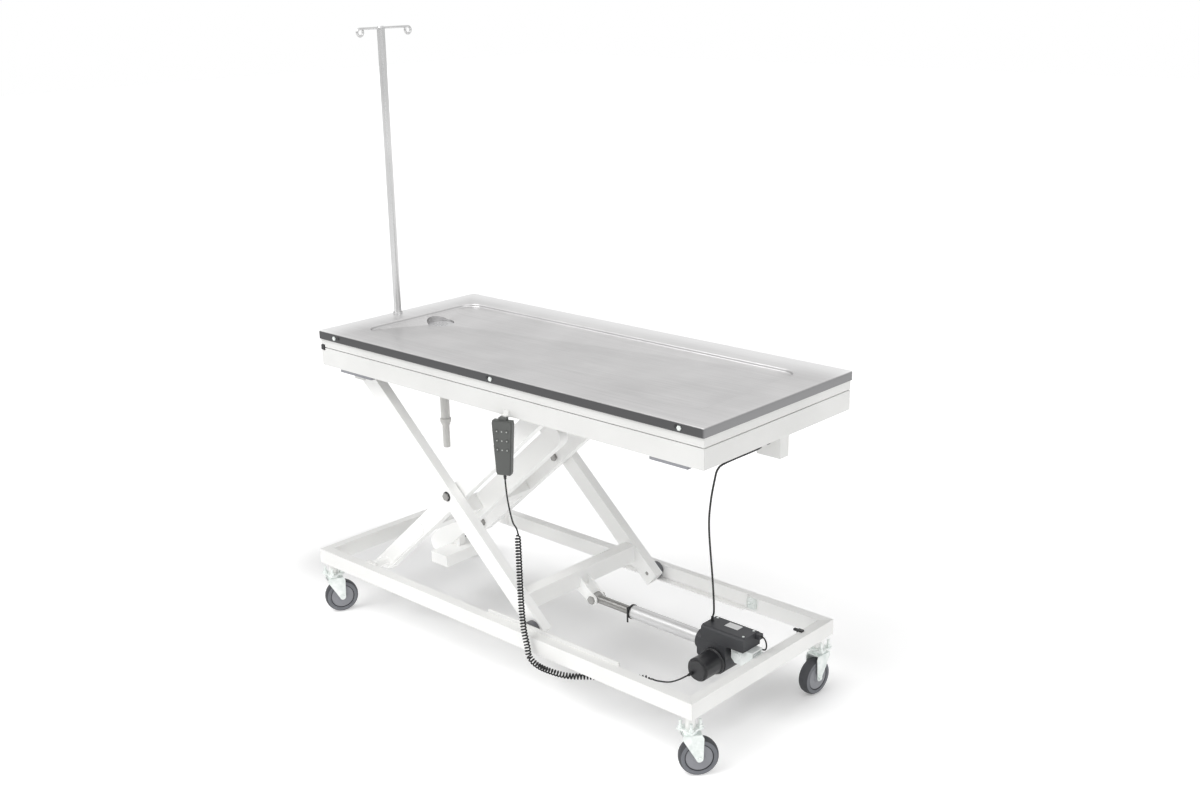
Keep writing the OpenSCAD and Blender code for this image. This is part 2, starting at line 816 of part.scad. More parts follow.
// Slope from the drain up to each wall, so that four creases run to the corners
module basin_room(grow) {
    floor_z = basin_floor_z - grow;
    rise = basin_drain_drop - basin_edge_drop;
    right_run = basin_mid + basin_length / 2 - drain_x;
    left_run = drain_x - basin_mid + basin_length / 2;
    far_run = basin_width / 2 - drain_y;
    near_run = basin_width / 2 + drain_y;
    intersection() {
        translate([basin_mid, 0, floor_z])
            linear_extrude(height = basin_drain_drop + 10)
                basin_plan(grow);
        translate([drain_x, drain_y, floor_z])
            rotate([0, -atan(rise / right_run), 0])
                translate([-1500, -1500, 0])
                    cube([3000, 3000, 600]);
        translate([drain_x, drain_y, floor_z])
            rotate([0, atan(rise / left_run), 0])
                translate([-1500, -1500, 0])
                    cube([3000, 3000, 1500]);
        translate([drain_x, drain_y, floor_z])
            rotate([atan(rise / far_run), 0, 0])
                translate([-1500, -1500, 0])
                    cube([3000, 3000, 600]);
        translate([drain_x, drain_y, floor_z])
            rotate([-atan(rise / near_run), 0, 0])
                translate([-1500, -1500, 0])
                    cube([3000, 3000, 600]);
    }
}
sink_r = 40;
module tray() {
    lx = tray_length / 2;
    ly = tray_width / 2;
    color("silver")
        difference() {
            union() {
                bar(top_mid - lx, top_mid + lx, -ly, ly, rim_z - skirt_depth, rim_z);
                intersection() {
                    basin_room(sheet);
                    bar(-700, 760, -250, 250, 800, rim_z);
                }
                translate([drain_x, drain_y, basin_floor_z - 3.5 - sheet])
                    cylinder(r = sink_r + sheet, h = 12);
            }
            difference() {
                bar(top_mid - lx + sheet, top_mid + lx - sheet, sheet - ly, ly - sheet, rim_z - skirt_depth - 1, rim_z - sheet);
                intersection() {
                    basin_room(sheet);
                    bar(-700, 760, -250, 250, 800, rim_z);
                }
                translate([drain_x, drain_y, basin_floor_z - 3.5 - sheet])
                    cylinder(r = sink_r + sheet, h = 12);
            }
            basin_room(0);
            translate([drain_x, drain_y, basin_floor_z - 3.5])
                cylinder(r = sink_r, h = 40);
            translate([drain_x, drain_y, basin_floor_z - 10])
                cylinder(r = 32, h = 40);
            translate([pole_x, pole_y, rim_z - 10])
                cylinder(r = pole_r + 3, h = 20);
        }
}
module tray_bolts() {
    color("silver")
        both_sides()
            for (x = [-587, 53, 670]) {
                hex_y(x, rim_z - 13, tray_width / 2, tray_width / 2 + 3.5, 6.5);
                rod_y(x, rim_z - 13, frame_y, tray_width / 2 - sheet, 4);
            }
}
module drain_strainer() {
    color("silver")
        translate([drain_x, drain_y, 0])
            difference() {
                union() {
                    translate([0, 0, basin_floor_z - 3.5])
                        cylinder(r = sink_r - 1, h = 2.5);
                    translate([0, 0, basin_floor_z - 16])
                        cylinder(r = 31, h = 14);
                }
                translate([0, 0, basin_floor_z - 14])
                    cylinder(r = 29, h = 11.5);
                translate([0, 0, basin_floor_z - 20])
                    cylinder(r = 12, h = 8);
                for (ring = [[0, 1], [10, 6], [20, 12]], i = [0 : 11])
                    if (i < ring[1])
                        rotate([0, 0, i * 360 / ring[1]])
                            translate([ring[0], 0, basin_floor_z - 5])
                                cylinder(r = 2.6, h = 6, $fn = 16);
            }
}
pipe_r = 14;
module drain_pipe() {
    color("gainsboro")
        translate([drain_x, drain_y, 0])
            difference() {
                union() {
                    translate([0, 0, 564])
                        cylinder(r = pipe_r, h = basin_floor_z - 16 - 564);
                    translate([0, 0, 572])
                        cylinder(r = pipe_r + 3, h = 12);
                    translate([0, 0, 492])
                        cylinder(r = pipe_r - 3, h = 80);
                    translate([0, 0, basin_floor_z - 30])
                        cylinder(r = 21, h = 14);
                }
                translate([0, 0, 480])
                    cylinder(r = pipe_r - 5, h = basin_floor_z - 480);
            }
}
module pole_socket() {
    color("silver")
        translate([pole_x, pole_y, 0])
            difference() {
                translate([0, 0, deck_z0 + 1])
                    cylinder(r = pole_r + 3, h = rim_z - deck_z0 + 4);
                translate([0, 0, deck_z0 + 4])
                    cylinder(r = pole_r + turn_gap, h = 200);
            }
}
// Drip pole with a cross bar ending in two open eyes
hook_near = 74;
hook_far = 98;
eye_turn = 10;
module pole_eye(y, start)
    translate([pole_x, pole_y + y, rim_z + pole_rise - eye_turn])
        rotate([90, 0, 90])
            rotate([0, 0, start])
                rotate_extrude(angle = 300)
                    translate([eye_turn, 0])
                        circle(r = 3.5);
module drip_pole() {
    pole_top = rim_z + pole_rise;
    color("silver") {
        translate([pole_x, pole_y, 0])
            rotate_extrude()
                polygon([[0, deck_z0 + 5], [pole_r, deck_z0 + 5], [pole_r, pole_top + 1], [pole_r - 3, pole_top + 5], [0, pole_top + 5]]);
        rod_y(pole_x, pole_top, pole_y - hook_near, pole_y + hook_far, 3.5);
        pole_eye(hook_far, -210);
        pole_eye(-hook_near, 90);
    }
}

// Handset, hung on the frame
case_z1 = lift_z0 - 5;
case_z0 = case_z1 - handset_height;
module case_plan(grow) {
    polygon([
        [-20 - grow, case_z0 + 6], [-17.5 - grow, case_z0 - grow], [17.5 + grow, case_z0 - grow], [20 + grow, case_z0 + 6],
        [28 + grow, case_z1 - 8], [26 + grow, case_z1 + grow], [-26 - grow, case_z1 + grow], [-28 - grow, case_z1 - 8]
    ]);
}
button_r = 5.5;
button_dx = 13.5;
button_dz = 24.5;
module button_place(i)
    hung()
        translate([handset_x + (i % 2 == 0 ? -1 : 1) * button_dx, 0, case_z1 - 28 - floor(i / 2) * button_dz])
            children();
module handset_case() {
    color("dimgray")
        difference() {
            hung() {
                translate([handset_x, 0, 0]) {
                    slab(handset_y0 + 2, handset_y1 - 3)
                        case_plan(0);
                    slab(handset_y0, handset_y1)
                        case_plan(-2);
                }
                bar(handset_x - 11, handset_x + 11, handset_y0 + 6, handset_y1 - 1, case_z1 - 2, case_z1 + 7);
            }
            for (i = [0 : 5])
                button_place(i)
                    rod_y(0, 0, handset_y0 - 1, handset_y0 + 4, button_r + 0.15);
        }
}
module button(i) {
    color("lightgray")
        button_place(i)
            rod_y(0, 0, handset_y0 - 1, handset_y0 + 2.5, button_r);
}
module button_1() { button(0); }
module button_2() { button(1); }
module button_3() { button(2); }
module button_4() { button(3); }
module button_5() { button(4); }
module button_6() { button(5); }

// Soft pieces. A tube swept through a list of places: rings of sides, each square to the route
function dir_at(p, i) = let (n = len(p), a = p[max(i - 1, 0)], b = p[min(i + 1, n - 1)]) (b - a) / norm(b - a);
function side_of(d, ref) = let (c = cross(d, ref)) c / norm(c);
function ring_at(c, d, ref, r, sides) =
    let (u = side_of(d, ref), v = cross(d, u)) [for (k = [0 : sides - 1]) c + r * (cos(360 * k / sides) * u + sin(360 * k / sides) * v)];
// Even steps along a smooth curve through the route's places
function bend(a, b, c, d, t) =
    0.5 * (2 * b + (c - a) * t + (2 * a - 5 * b + 4 * c - d) * t * t + (3 * b - a - 3 * c + d) * t * t * t);
function smooth(p, steps) =
    let (n = len(p))
        concat([for (i = [0 : n - 2], k = [0 : steps - 1]) bend(p[max(i - 1, 0)], p[i], p[i + 1], p[min(i + 2, n - 1)], k / steps)], [p[n - 1]]);
// Where a tube meets another piece its end ring lies square to the way that both share there
module swept(p, r, sides, ref, first, last) {
    n = len(p);
    ways = [for (i = [0 : n - 1]) i == 0 ? first : i == n - 1 ? last : dir_at(p, i)];
    rings = [for (i = [0 : n - 1]) each ring_at(p[i], ways[i], ref, r, sides)];
    caps = [[for (k = [0 : sides - 1]) k], [for (k = [0 : sides - 1]) (n - 1) * sides + sides - 1 - k]];
    sheets = [for (i = [0 : n - 2], k = [0 : sides - 1]) let (m = (k + 1) % sides, a = i * sides, b = a + sides)
        each [[a + k, b + k, b + m], [a + k, b + m, a + m]]];
    polyhedron(points = rings, faces = concat(caps, sheets), convexity = 10);
}

cord_r = 2.1;
coil_r = 6.4;
curl_rings = 8;
curl_pitch = 8.4;
fall_end_z = 190;
lead_top = [handset_x + 12 * sin(handset_turn), handset_y1 + 1.5 - 12 * cos(handset_turn), case_z0 - 0.2];
coil_top = [153, -320, 508];
coil_mid = [174, -320, fall_end_z];
lead_route = [lead_top, lead_top - [0, 0, 8], [handset_x + 5.5, -314, case_z0 - 26], [118, -317, 580], [134, -319, 532], [147, -320, 518], coil_top];
fall_route = [coil_top, [154, -320, 430], [156, -320, 318], [162, -320, 242], coil_mid];
run_end = [442, -132, 113];
function unit(v) = v / norm(v);
down = [0, 0, -1];
run_way = unit([1.8, 0.66, -0.06]);
run_route = [
    coil_mid, [180, -320, 164], [206, -320, 149], [250, -316, 144], [300, -298, 140],
    [342, -252, 134], [374, -204, 124], [404, -160, 116], run_end
];
motor_route = [
    run_end + 0.05 * run_way, [456, -131, 113], [494, -130, 122], [526, -132, 140],
    [548, -128, 156], [554, -118, 160], [554, -110.2, 160]
];

// Helix round a route: its two outer ends run straight for a tube's width and then open to full curls
function route_len(p) = len(p) < 2 ? 0 : norm(p[1] - p[0]) + route_len([for (i = [1 : len(p) - 1]) p[i]]);
function coil_points(route, first_in, last_in) =
    let (
        fine = smooth(route, 16),
        n = len(fine),
        gaps = [for (i = [0 : n - 2]) norm(fine[i + 1] - fine[i])],
        sums = [for (i = 0, s = 0; i < n; s = s + (i < n - 1 ? gaps[i] : 0), i = i + 1) s],
        total = sums[n - 1],
        turns = round(total / curl_pitch),
        count = turns * curl_rings
    )
    [for (k = [0 : count])
        let (
            s = total * k / count,
            hits = [for (i = [0 : n - 2]) if (sums[i] <= s + 0.0001 && s <= sums[i + 1] + 0.0001) i],
            i = hits[0],
            t = (s - sums[i]) / gaps[i],
            c = fine[i] * (1 - t) + fine[i + 1] * t,
            d = dir_at(fine, i) * (1 - t) + dir_at(fine, i + 1) * t,
            u = side_of(d / norm(d), [0.2, 1, 0.1]),
            v = cross(d / norm(d), u),
            inset = max(0, min(1, (first_in + k) / (1.5 * curl_rings), (last_in + count - k) / (1.5 * curl_rings))),
            a = 360 * k / curl_rings
        )
        c + coil_r * inset * (cos(a) * u + sin(a) * v)];
fall_points = coil_points(fall_route, -4, 12);
run_free = coil_points(run_route, 12, -4);
fall_last = fall_points[len(fall_points) - 1];
join_way = unit(run_free[1] - fall_points[len(fall_points) - 2]);
run_points = [for (i = [0 : len(run_free) - 1]) i == 0 ? fall_last + 0.05 * join_way : run_free[i]];
// Least distance between neighbouring curls, on the points themselves
function self_gap(p) = min([for (i = [0 : len(p) - curl_rings - 3], j = [curl_rings - 2 : curl_rings + 2]) norm(p[i + j] - p[i])]) - 2 * cord_r;
echo(curls = [(len(fall_points) - 1) / curl_rings, (len(run_points) - 1) / curl_rings]);
echo(self_gap_fall = self_gap(fall_points), self_gap_run = self_gap(run_points));
module handset_lead() {
    color("black")
        swept(smooth(lead_route, 2), cord_r, 8, [0.2, 1, 0.1], down, down);
}
module handset_coil_fall() {
    color("black")
        swept(fall_points, cord_r, 6, [0.2, 0.3, 1], down, join_way);
}
module handset_coil_run() {
    color("black")
        swept(run_points, cord_r, 6, [0.2, 0.3, 1], join_way, run_way);
}
module motor_lead() {
    color("black")
        swept(smooth(motor_route, 2), cord_r, 8, [0.1, 0.2, 1], run_way, [0, 1, 0]);
}
jumper_route = [
    [box_x1 + 14.2, 22, 252], [682, 22, 250], [688, 23, 240], [689, 24, 226], [683, 26, 216], [672, 28.5, 213],
    [655, 29.5, 212], [625, 29.5, 210], [gear_face + 0.2, 28, 208]
];
module motor_jumper() {
    color("black")
        swept(smooth(jumper_route, 2), cord_r, 8, [0.1, 1, 0.2], [1, 0, 0], [-1, 0, 0]);
}
cable_r = 2.5;
cable_end = [534, 0, box_z1 + 0.2];
cable_route = [
    [tilt_x + 6, tilt_y - 17.7, lift_z0 - 20], [tilt_x + 8, -25, lift_z0 - 18], [tilt_x + 21.5, -60, lift_z0 - 16],
    [tilt_x + 21, -180, lift_z0 - 17], [tilt_x + 18, -207, lift_z0 - 26], [tilt_x + 14, -214, lift_z0 - 52],
    [692, -213, 690], [678, -200, 615], [637, -132, 446], [590, -66, 335], [548, -16, 284], [535, -1, 269], cable_end
];
module tilt_cable() {
    color("black")
        swept(smooth(cable_route, 3), cable_r, 10, [0.3, 0.2, 0.1], [0, -1, 0], down);
}

base_rails();
base_ends();
base_tracks();
rail_fittings();
caster_plates();
fork_near_left();
wheel_near_left();
fork_near_right();
wheel_near_right();
fork_far_left();
wheel_far_left();
fork_far_right();
wheel_far_right();
actuator_tube();
wiper_ring();
gear_housing();
motor();
control_box();
rear_bracket();
actuator_rod();
inner_arms();
inner_cross_tubes();
inner_spine();
inner_pins();
outer_arms();
outer_crossbar();
clevis_plates();
outer_pins();
base_roller_near();
base_roller_far();
top_roller_near();
top_roller_far();
lift_rails();
lift_cross_members();
lift_tracks();
hinge_blocks();
frame_cleats();
tilt_housing();
tilt_rod();
handset_hook();
deck_frame();
tray();
tray_bolts();
drain_strainer();
drain_pipe();
pole_socket();
drip_pole();
handset_case();
button_1();
button_2();
button_3();
button_4();
button_5();
button_6();
handset_lead();
handset_coil_fall();
handset_coil_run();
motor_lead();
motor_jumper();
tilt_cable();
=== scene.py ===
import json
import math

import bpy
import bmesh
from mathutils import Matrix, Vector


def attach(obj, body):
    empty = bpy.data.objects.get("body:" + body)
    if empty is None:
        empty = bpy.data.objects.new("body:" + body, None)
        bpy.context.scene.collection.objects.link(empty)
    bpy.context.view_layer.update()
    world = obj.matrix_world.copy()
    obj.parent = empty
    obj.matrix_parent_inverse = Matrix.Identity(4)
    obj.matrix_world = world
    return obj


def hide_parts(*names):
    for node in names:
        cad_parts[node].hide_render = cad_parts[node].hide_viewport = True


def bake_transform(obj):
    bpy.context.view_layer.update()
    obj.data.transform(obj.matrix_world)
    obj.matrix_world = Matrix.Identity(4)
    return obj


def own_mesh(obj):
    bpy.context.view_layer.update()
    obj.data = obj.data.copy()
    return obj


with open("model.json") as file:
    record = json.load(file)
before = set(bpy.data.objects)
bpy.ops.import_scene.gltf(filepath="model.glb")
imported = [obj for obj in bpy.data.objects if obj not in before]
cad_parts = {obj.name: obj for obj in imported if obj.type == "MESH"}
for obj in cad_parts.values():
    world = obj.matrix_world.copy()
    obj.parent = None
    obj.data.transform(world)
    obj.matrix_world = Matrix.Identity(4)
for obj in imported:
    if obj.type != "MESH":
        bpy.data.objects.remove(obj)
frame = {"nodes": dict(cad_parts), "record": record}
nodes = frame["nodes"]
behaviour = frame["record"]["behaviour"]
bodyOf = {node: body for body, members in behaviour["bodies"].items() for node in members}
jointOf = {joint["child"]: joint for joint in behaviour["joints"]}
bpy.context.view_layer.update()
scene = bpy.context.scene
scene.view_settings.view_transform = "Standard"


# helpers
def hexColour(text):
    channels = [int(text[i:i + 2], 16) / 255 for i in (1, 3, 5)]
    return [c / 12.92 if c <= 0.04045 else ((c + 0.055) / 1.055) ** 2.4 for c in channels] + [1.0]


def addNode(tree, kind, values=None, links=None, **settings):
    node = tree.nodes.new(kind)
    for key, value in settings.items():
        setattr(node, key, value)
    for key, value in (values or {}).items():
        node.inputs[key].default_value = value
    for key, source in (links or {}).items():
        tree.links.new(source, node.inputs[key])
    return node


def placeOnBody(piece, body, replaced=(), material=None):
    if material is not None:
        piece.data.materials.clear()
        piece.data.materials.append(material)
    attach(piece, body)
    if replaced:
        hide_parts(*replaced)
    return piece


def meshObject(name, vertices, faces, smoothAngle=None):
    mesh = bpy.data.meshes.new(name)
    mesh.from_pydata([tuple(v) for v in vertices], [], faces)
    mesh.validate()
    piece = bpy.data.objects.new(name, mesh)
    scene.collection.objects.link(piece)
    if smoothAngle is not None:
        smoothBy(piece, smoothAngle)
    return piece


def smoothBy(piece, angle):
    for polygon in piece.data.polygons:
        polygon.use_smooth = True
    piece.data.set_sharp_from_angle(angle=math.radians(angle))


def settle(piece):  # the evaluated piece becomes a plain mesh, with no modifiers left
    graph = bpy.context.evaluated_depsgraph_get()
    graph.update()
    mesh = bpy.data.meshes.new_from_object(piece.evaluated_get(graph))
    piece.modifiers.clear()
    old = piece.data
    piece.data = mesh
    bpy.data.meshes.remove(old)
    return piece


def fixNormals(piece):
    shell = bmesh.new()
    shell.from_mesh(piece.data)
    bmesh.ops.remove_doubles(shell, verts=shell.verts, dist=1e-6)
    bmesh.ops.recalc_face_normals(shell, faces=shell.faces)
    shell.to_mesh(piece.data)
    shell.free()


def lathe(name, profile, centre, axis, segments):
    # profile: closed list of (distance along the axis, radius)
    axis = Vector(axis).normalized()
    side = axis.orthogonal().normalized()
    other = axis.cross(side)
    centre, count = Vector(centre), len(profile)
    vertices = []
    for k in range(segments):
        angle = 2 * math.pi * k / segments
        out = math.cos(angle) * side + math.sin(angle) * other
        vertices += [centre + axis * along + out * radius for along, radius in profile]
    faces = []
    for k in range(segments):
        a, b = k * count, (k + 1) % segments * count
        faces += [(a + i, a + (i + 1) % count, b + (i + 1) % count, b + i) for i in range(count)]
    piece = meshObject(name, vertices, faces)
    fixNormals(piece)
    smoothBy(piece, 32)
    return piece


def instanceTree(name, material):
    # points of the carrier mesh, each with the kind's mesh turned to the point's own direction
    tree = bpy.data.node_groups.new(name, "GeometryNodeTree")
    sockets = (("Geometry", "NodeSocketGeometry"), ("Kind", "NodeSocketObject"), ("Size", "NodeSocketFloat"))
    for socket, kind in sockets:
        tree.interface.new_socket(socket, in_out="INPUT", socket_type=kind)
    tree.interface.new_socket("Geometry", in_out="OUTPUT", socket_type="NodeSocketGeometry")
    start = addNode(tree, "NodeGroupInput")
    points = addNode(tree, "GeometryNodeMeshToPoints", links={"Mesh": start.outputs["Geometry"]})
    kind = addNode(tree, "GeometryNodeObjectInfo", links={"Object": start.outputs["Kind"]})
    heading = addNode(tree, "GeometryNodeInputNamedAttribute", {"Name": "heading"}, data_type="FLOAT_VECTOR")
    turn = addNode(tree, "FunctionNodeAlignRotationToVector", links={"Vector": heading.outputs[0]}, axis="Z")
    placed = addNode(tree, "GeometryNodeInstanceOnPoints", links={
        "Points": points.outputs[0], "Instance": kind.outputs["Geometry"], "Rotation": turn.outputs[0],
        "Scale": start.outputs["Size"]})
    real = addNode(tree, "GeometryNodeRealizeInstances", links={"Geometry": placed.outputs[0]})
    coat = addNode(tree, "GeometryNodeSetMaterial", links={"Geometry": real.outputs[0]})
    coat.inputs["Material"].default_value = material
    addNode(tree, "NodeGroupOutput", links={"Geometry": coat.outputs[0]})
    return tree


def scatter(name, kind, places, body, finish, size=1.0):
    # places: (point, heading) pairs; the instances become one plain mesh on the body
    carrier = meshObject(name, [point for point, heading in places], [])
    headings = carrier.data.attributes.new("heading", "FLOAT_VECTOR", "POINT")
    for entry, (point, heading) in zip(headings.data, places):
        entry.vector = heading
    tree = instanceTree(name + "Rule", finishes[finish])
    spread = carrier.modifiers.new("spread", "NODES")
    spread.node_group = tree
    inputs = {item.name: item.identifier for item in tree.interface.items_tree if item.in_out == "INPUT"}
    spread[inputs["Kind"]] = kind
    spread[inputs["Size"]] = size
    settle(carrier)
    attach(carrier, body)
    return carrier


def dropKind(kind):
    mesh = kind.data
    bpy.data.objects.remove(kind)
    bpy.data.meshes.remove(mesh)


# camera: the photograph's view
cameraPlace = {"spot": (2.5828, -2.6293, 1.8919), "yaw": 42.76, "pitch": 17.21, "roll": -1.01, "lens": 42.377,
               "sensor": 36, "reach": 60}


def makeCamera(place):
    yaw, pitch, roll = (math.radians(place[k]) for k in ("yaw", "pitch", "roll"))
    ahead = Vector((-math.sin(yaw) * math.cos(pitch), math.cos(yaw) * math.cos(pitch), -math.sin(pitch)))
    right = ahead.cross(Vector((0, 0, 1))).normalized()
    up = right.cross(ahead)
    tiltedRight = math.cos(roll) * right + math.sin(roll) * up
    tiltedUp = -math.sin(roll) * right + math.cos(roll) * up
    data = bpy.data.cameras.new("photoCamera")
    data.sensor_width = place["sensor"]
    data.lens = place["lens"]
    data.clip_end = place["reach"]
    camera = bpy.data.objects.new("photoCamera", data)
    turn = Matrix((tiltedRight, tiltedUp, -ahead)).transposed().to_4x4()
    camera.matrix_world = Matrix.Translation(place["spot"]) @ turn
    scene.collection.objects.link(camera)
    scene.camera = camera


makeCamera(cameraPlace)
print("camera placed")


# materials; a pattern's scale is one over its spacing in metres, and what is too fine to show is drawn coarser
def newMaterial(name):
    material = bpy.data.materials.new(name)
    material.use_nodes = True
    tree = material.node_tree
    tree.nodes.clear()
    place = addNode(tree, "ShaderNodeTexCoord").outputs["Object"]
    return material, tree, place


def finishSurface(tree, place, tone, wear, relief, look):
    # colour follows the tone pattern, with the painted reflection tones laid over it where they are given; gloss
    # follows the wear and bump the relief
    ramp = addNode(tree, "ShaderNodeValToRGB", links={"Fac": tone})
    for element, position, text in zip(ramp.color_ramp.elements, look["band"], look["tones"]):
        element.position = position
        element.color = hexColour(text)
    colour = ramp.outputs["Color"]
    if look.get("paintedReflection"):
        colour = paintedReflectionTones(tree, place, colour, look["paintedReflection"])
    least, most = look["gloss"]
    gloss = addNode(tree, "ShaderNodeMapRange", {"To Min": least, "To Max": most}, {"Value": wear})
    raised = addNode(tree, "ShaderNodeBump", {"Strength": 1.0, "Distance": look["depth"]}, {"Height": relief})
    shader = addNode(tree, "ShaderNodeBsdfPrincipled", {"Metallic": look["metallic"]}, {
        "Base Color": colour, "Roughness": gloss.outputs[0], "Normal": raised.outputs[0]})
    addNode(tree, "ShaderNodeOutputMaterial", links={"Surface": shader.outputs[0]})


def paintMaterial(name, low, high, roughness, peel, depth):
    # a sprayed or moulded skin: fine peel, a faint cloudy tone and a slightly uneven gloss
    material, tree, place = newMaterial(name)
    cloud, grain, smear = (
        addNode(tree, "ShaderNodeTexNoise", {"Scale": scale, "Detail": detail}, {"Vector": place}).outputs["Fac"]
        for scale, detail in ((5.0, 3.0), (1 / peel, 1.0), (14.0, 4.0)))
    finishSurface(tree, place, cloud, smear, grain, {
        "tones": (low, high), "band": (0.3, 0.7), "gloss": (roughness - 0.05, roughness + 0.07), "depth": depth,
        "metallic": 0.0})
    return material


def metalMaterial(name, low, high, roughness, streak, streakDepth=0.00002, cloudScale=6.0, metallic=1.0, paintedReflection=None):
    # bare metal: streaks along its working direction over a cloudy tone, and painted reflection tones where they are
    # given
    material, tree, place = newMaterial(name)
    drawn = addNode(tree, "ShaderNodeMapping", {"Scale": streak}, {"Vector": place}).outputs[0]
    lines, cloud = (
        addNode(tree, "ShaderNodeTexNoise", {"Scale": scale, "Detail": detail}, {"Vector": source}).outputs["Fac"]
        for scale, detail, source in ((1.0, 2.0, drawn), (cloudScale, 3.0, place)))
    both = addNode(tree, "ShaderNodeMath", {2: 0.0}, {0: lines, 1: cloud}, operation="ADD")
    half = addNode(tree, "ShaderNodeMath", {1: 0.5}, {0: both.outputs[0]}, operation="MULTIPLY")
    finishSurface(tree, place, half.outputs[0], lines, lines, {
        "tones": (low, high), "band": (0.35, 0.65), "gloss": (roughness - 0.06, roughness + 0.08), "depth": streakDepth,
        "metallic": metallic, "paintedReflection": paintedReflection})
    return material


# painted reflection on the sheet: a painted highlight in white along its far and left rims, and painted dark
# reflections in greys on the skirt's upright faces; each pair is a start and an end in metres, and upright is in the
# normal's height
trayPaintedReflection = {"sideReflectionTone": "#59595A", "endReflectionTone": "#8A8A8B", "rimHighlightTone": "#FFFFFF", "middle": 0.04, "side": (0.27, 0.285),
              "end": (0.66, 0.68), "basinShare": 0.25, "farRim": (0.19, 0.30), "leftRim": (-0.56, -0.66),
              "rimShare": 0.9, "upright": (0.15, 0.97)}


def paintedReflectionTones(tree, place, colour, sizes):
    spot = addNode(tree, "ShaderNodeSeparateXYZ", links={"Vector": place}).outputs
    across = addNode(tree, "ShaderNodeMath", {}, {0: spot["Y"]}, operation="ABSOLUTE").outputs[0]
    fromMiddle = addNode(tree, "ShaderNodeMath", {1: sizes["middle"]}, {0: spot["X"]}, operation="SUBTRACT").outputs[0]
    along = addNode(tree, "ShaderNodeMath", {}, {0: fromMiddle}, operation="ABSOLUTE").outputs[0]
    normal = addNode(tree, "ShaderNodeNewGeometry").outputs["Normal"]
    facing = addNode(tree, "ShaderNodeSeparateXYZ", links={"Vector": normal}).outputs
    masks = {}
    for mask, source, start, end in (
            ("side", across, sizes["basinShare"], 1.0), ("end", along, sizes["basinShare"], 1.0),
            ("farRim", spot["Y"], 0.0, sizes["rimShare"]), ("leftRim", spot["X"], 0.0, sizes["rimShare"]),
            ("upright", facing["Z"], 1.0, 0.0)):
        masks[mask] = addNode(tree, "ShaderNodeMapRange", {
            "From Min": sizes[mask][0], "From Max": sizes[mask][1], "To Min": start, "To Max": end},
            {"Value": source}).outputs[0]
    atRim, atSkirt = (
        addNode(tree, "ShaderNodeMath", {}, {0: masks[one], 1: masks[other]}, operation="MAXIMUM").outputs[0]
        for one, other in (("farRim", "leftRim"), ("side", "end")))
    folded = addNode(tree, "ShaderNodeMath", {}, {0: masks["upright"], 1: atSkirt}, operation="MULTIPLY").outputs[0]
    # painted reflection: the skirt's upright faces are greyed, the tone set by the way each face looks
    skirt = addNode(tree, "ShaderNodeMix", data_type="RGBA", links={"Factor": facing["X"]})
    skirt.inputs[6].default_value = hexColour(sizes["sideReflectionTone"])
    skirt.inputs[7].default_value = hexColour(sizes["endReflectionTone"])
    # painted highlight: the far and left rims are whitened
    lit = addNode(tree, "ShaderNodeMix", data_type="RGBA", links={"Factor": atRim, 6: colour})
    lit.inputs[7].default_value = hexColour(sizes["rimHighlightTone"])
    mixed = addNode(tree, "ShaderNodeMix", data_type="RGBA",
                    links={"Factor": folded, 6: lit.outputs[2], 7: skirt.outputs[2]})
    return mixed.outputs[2]


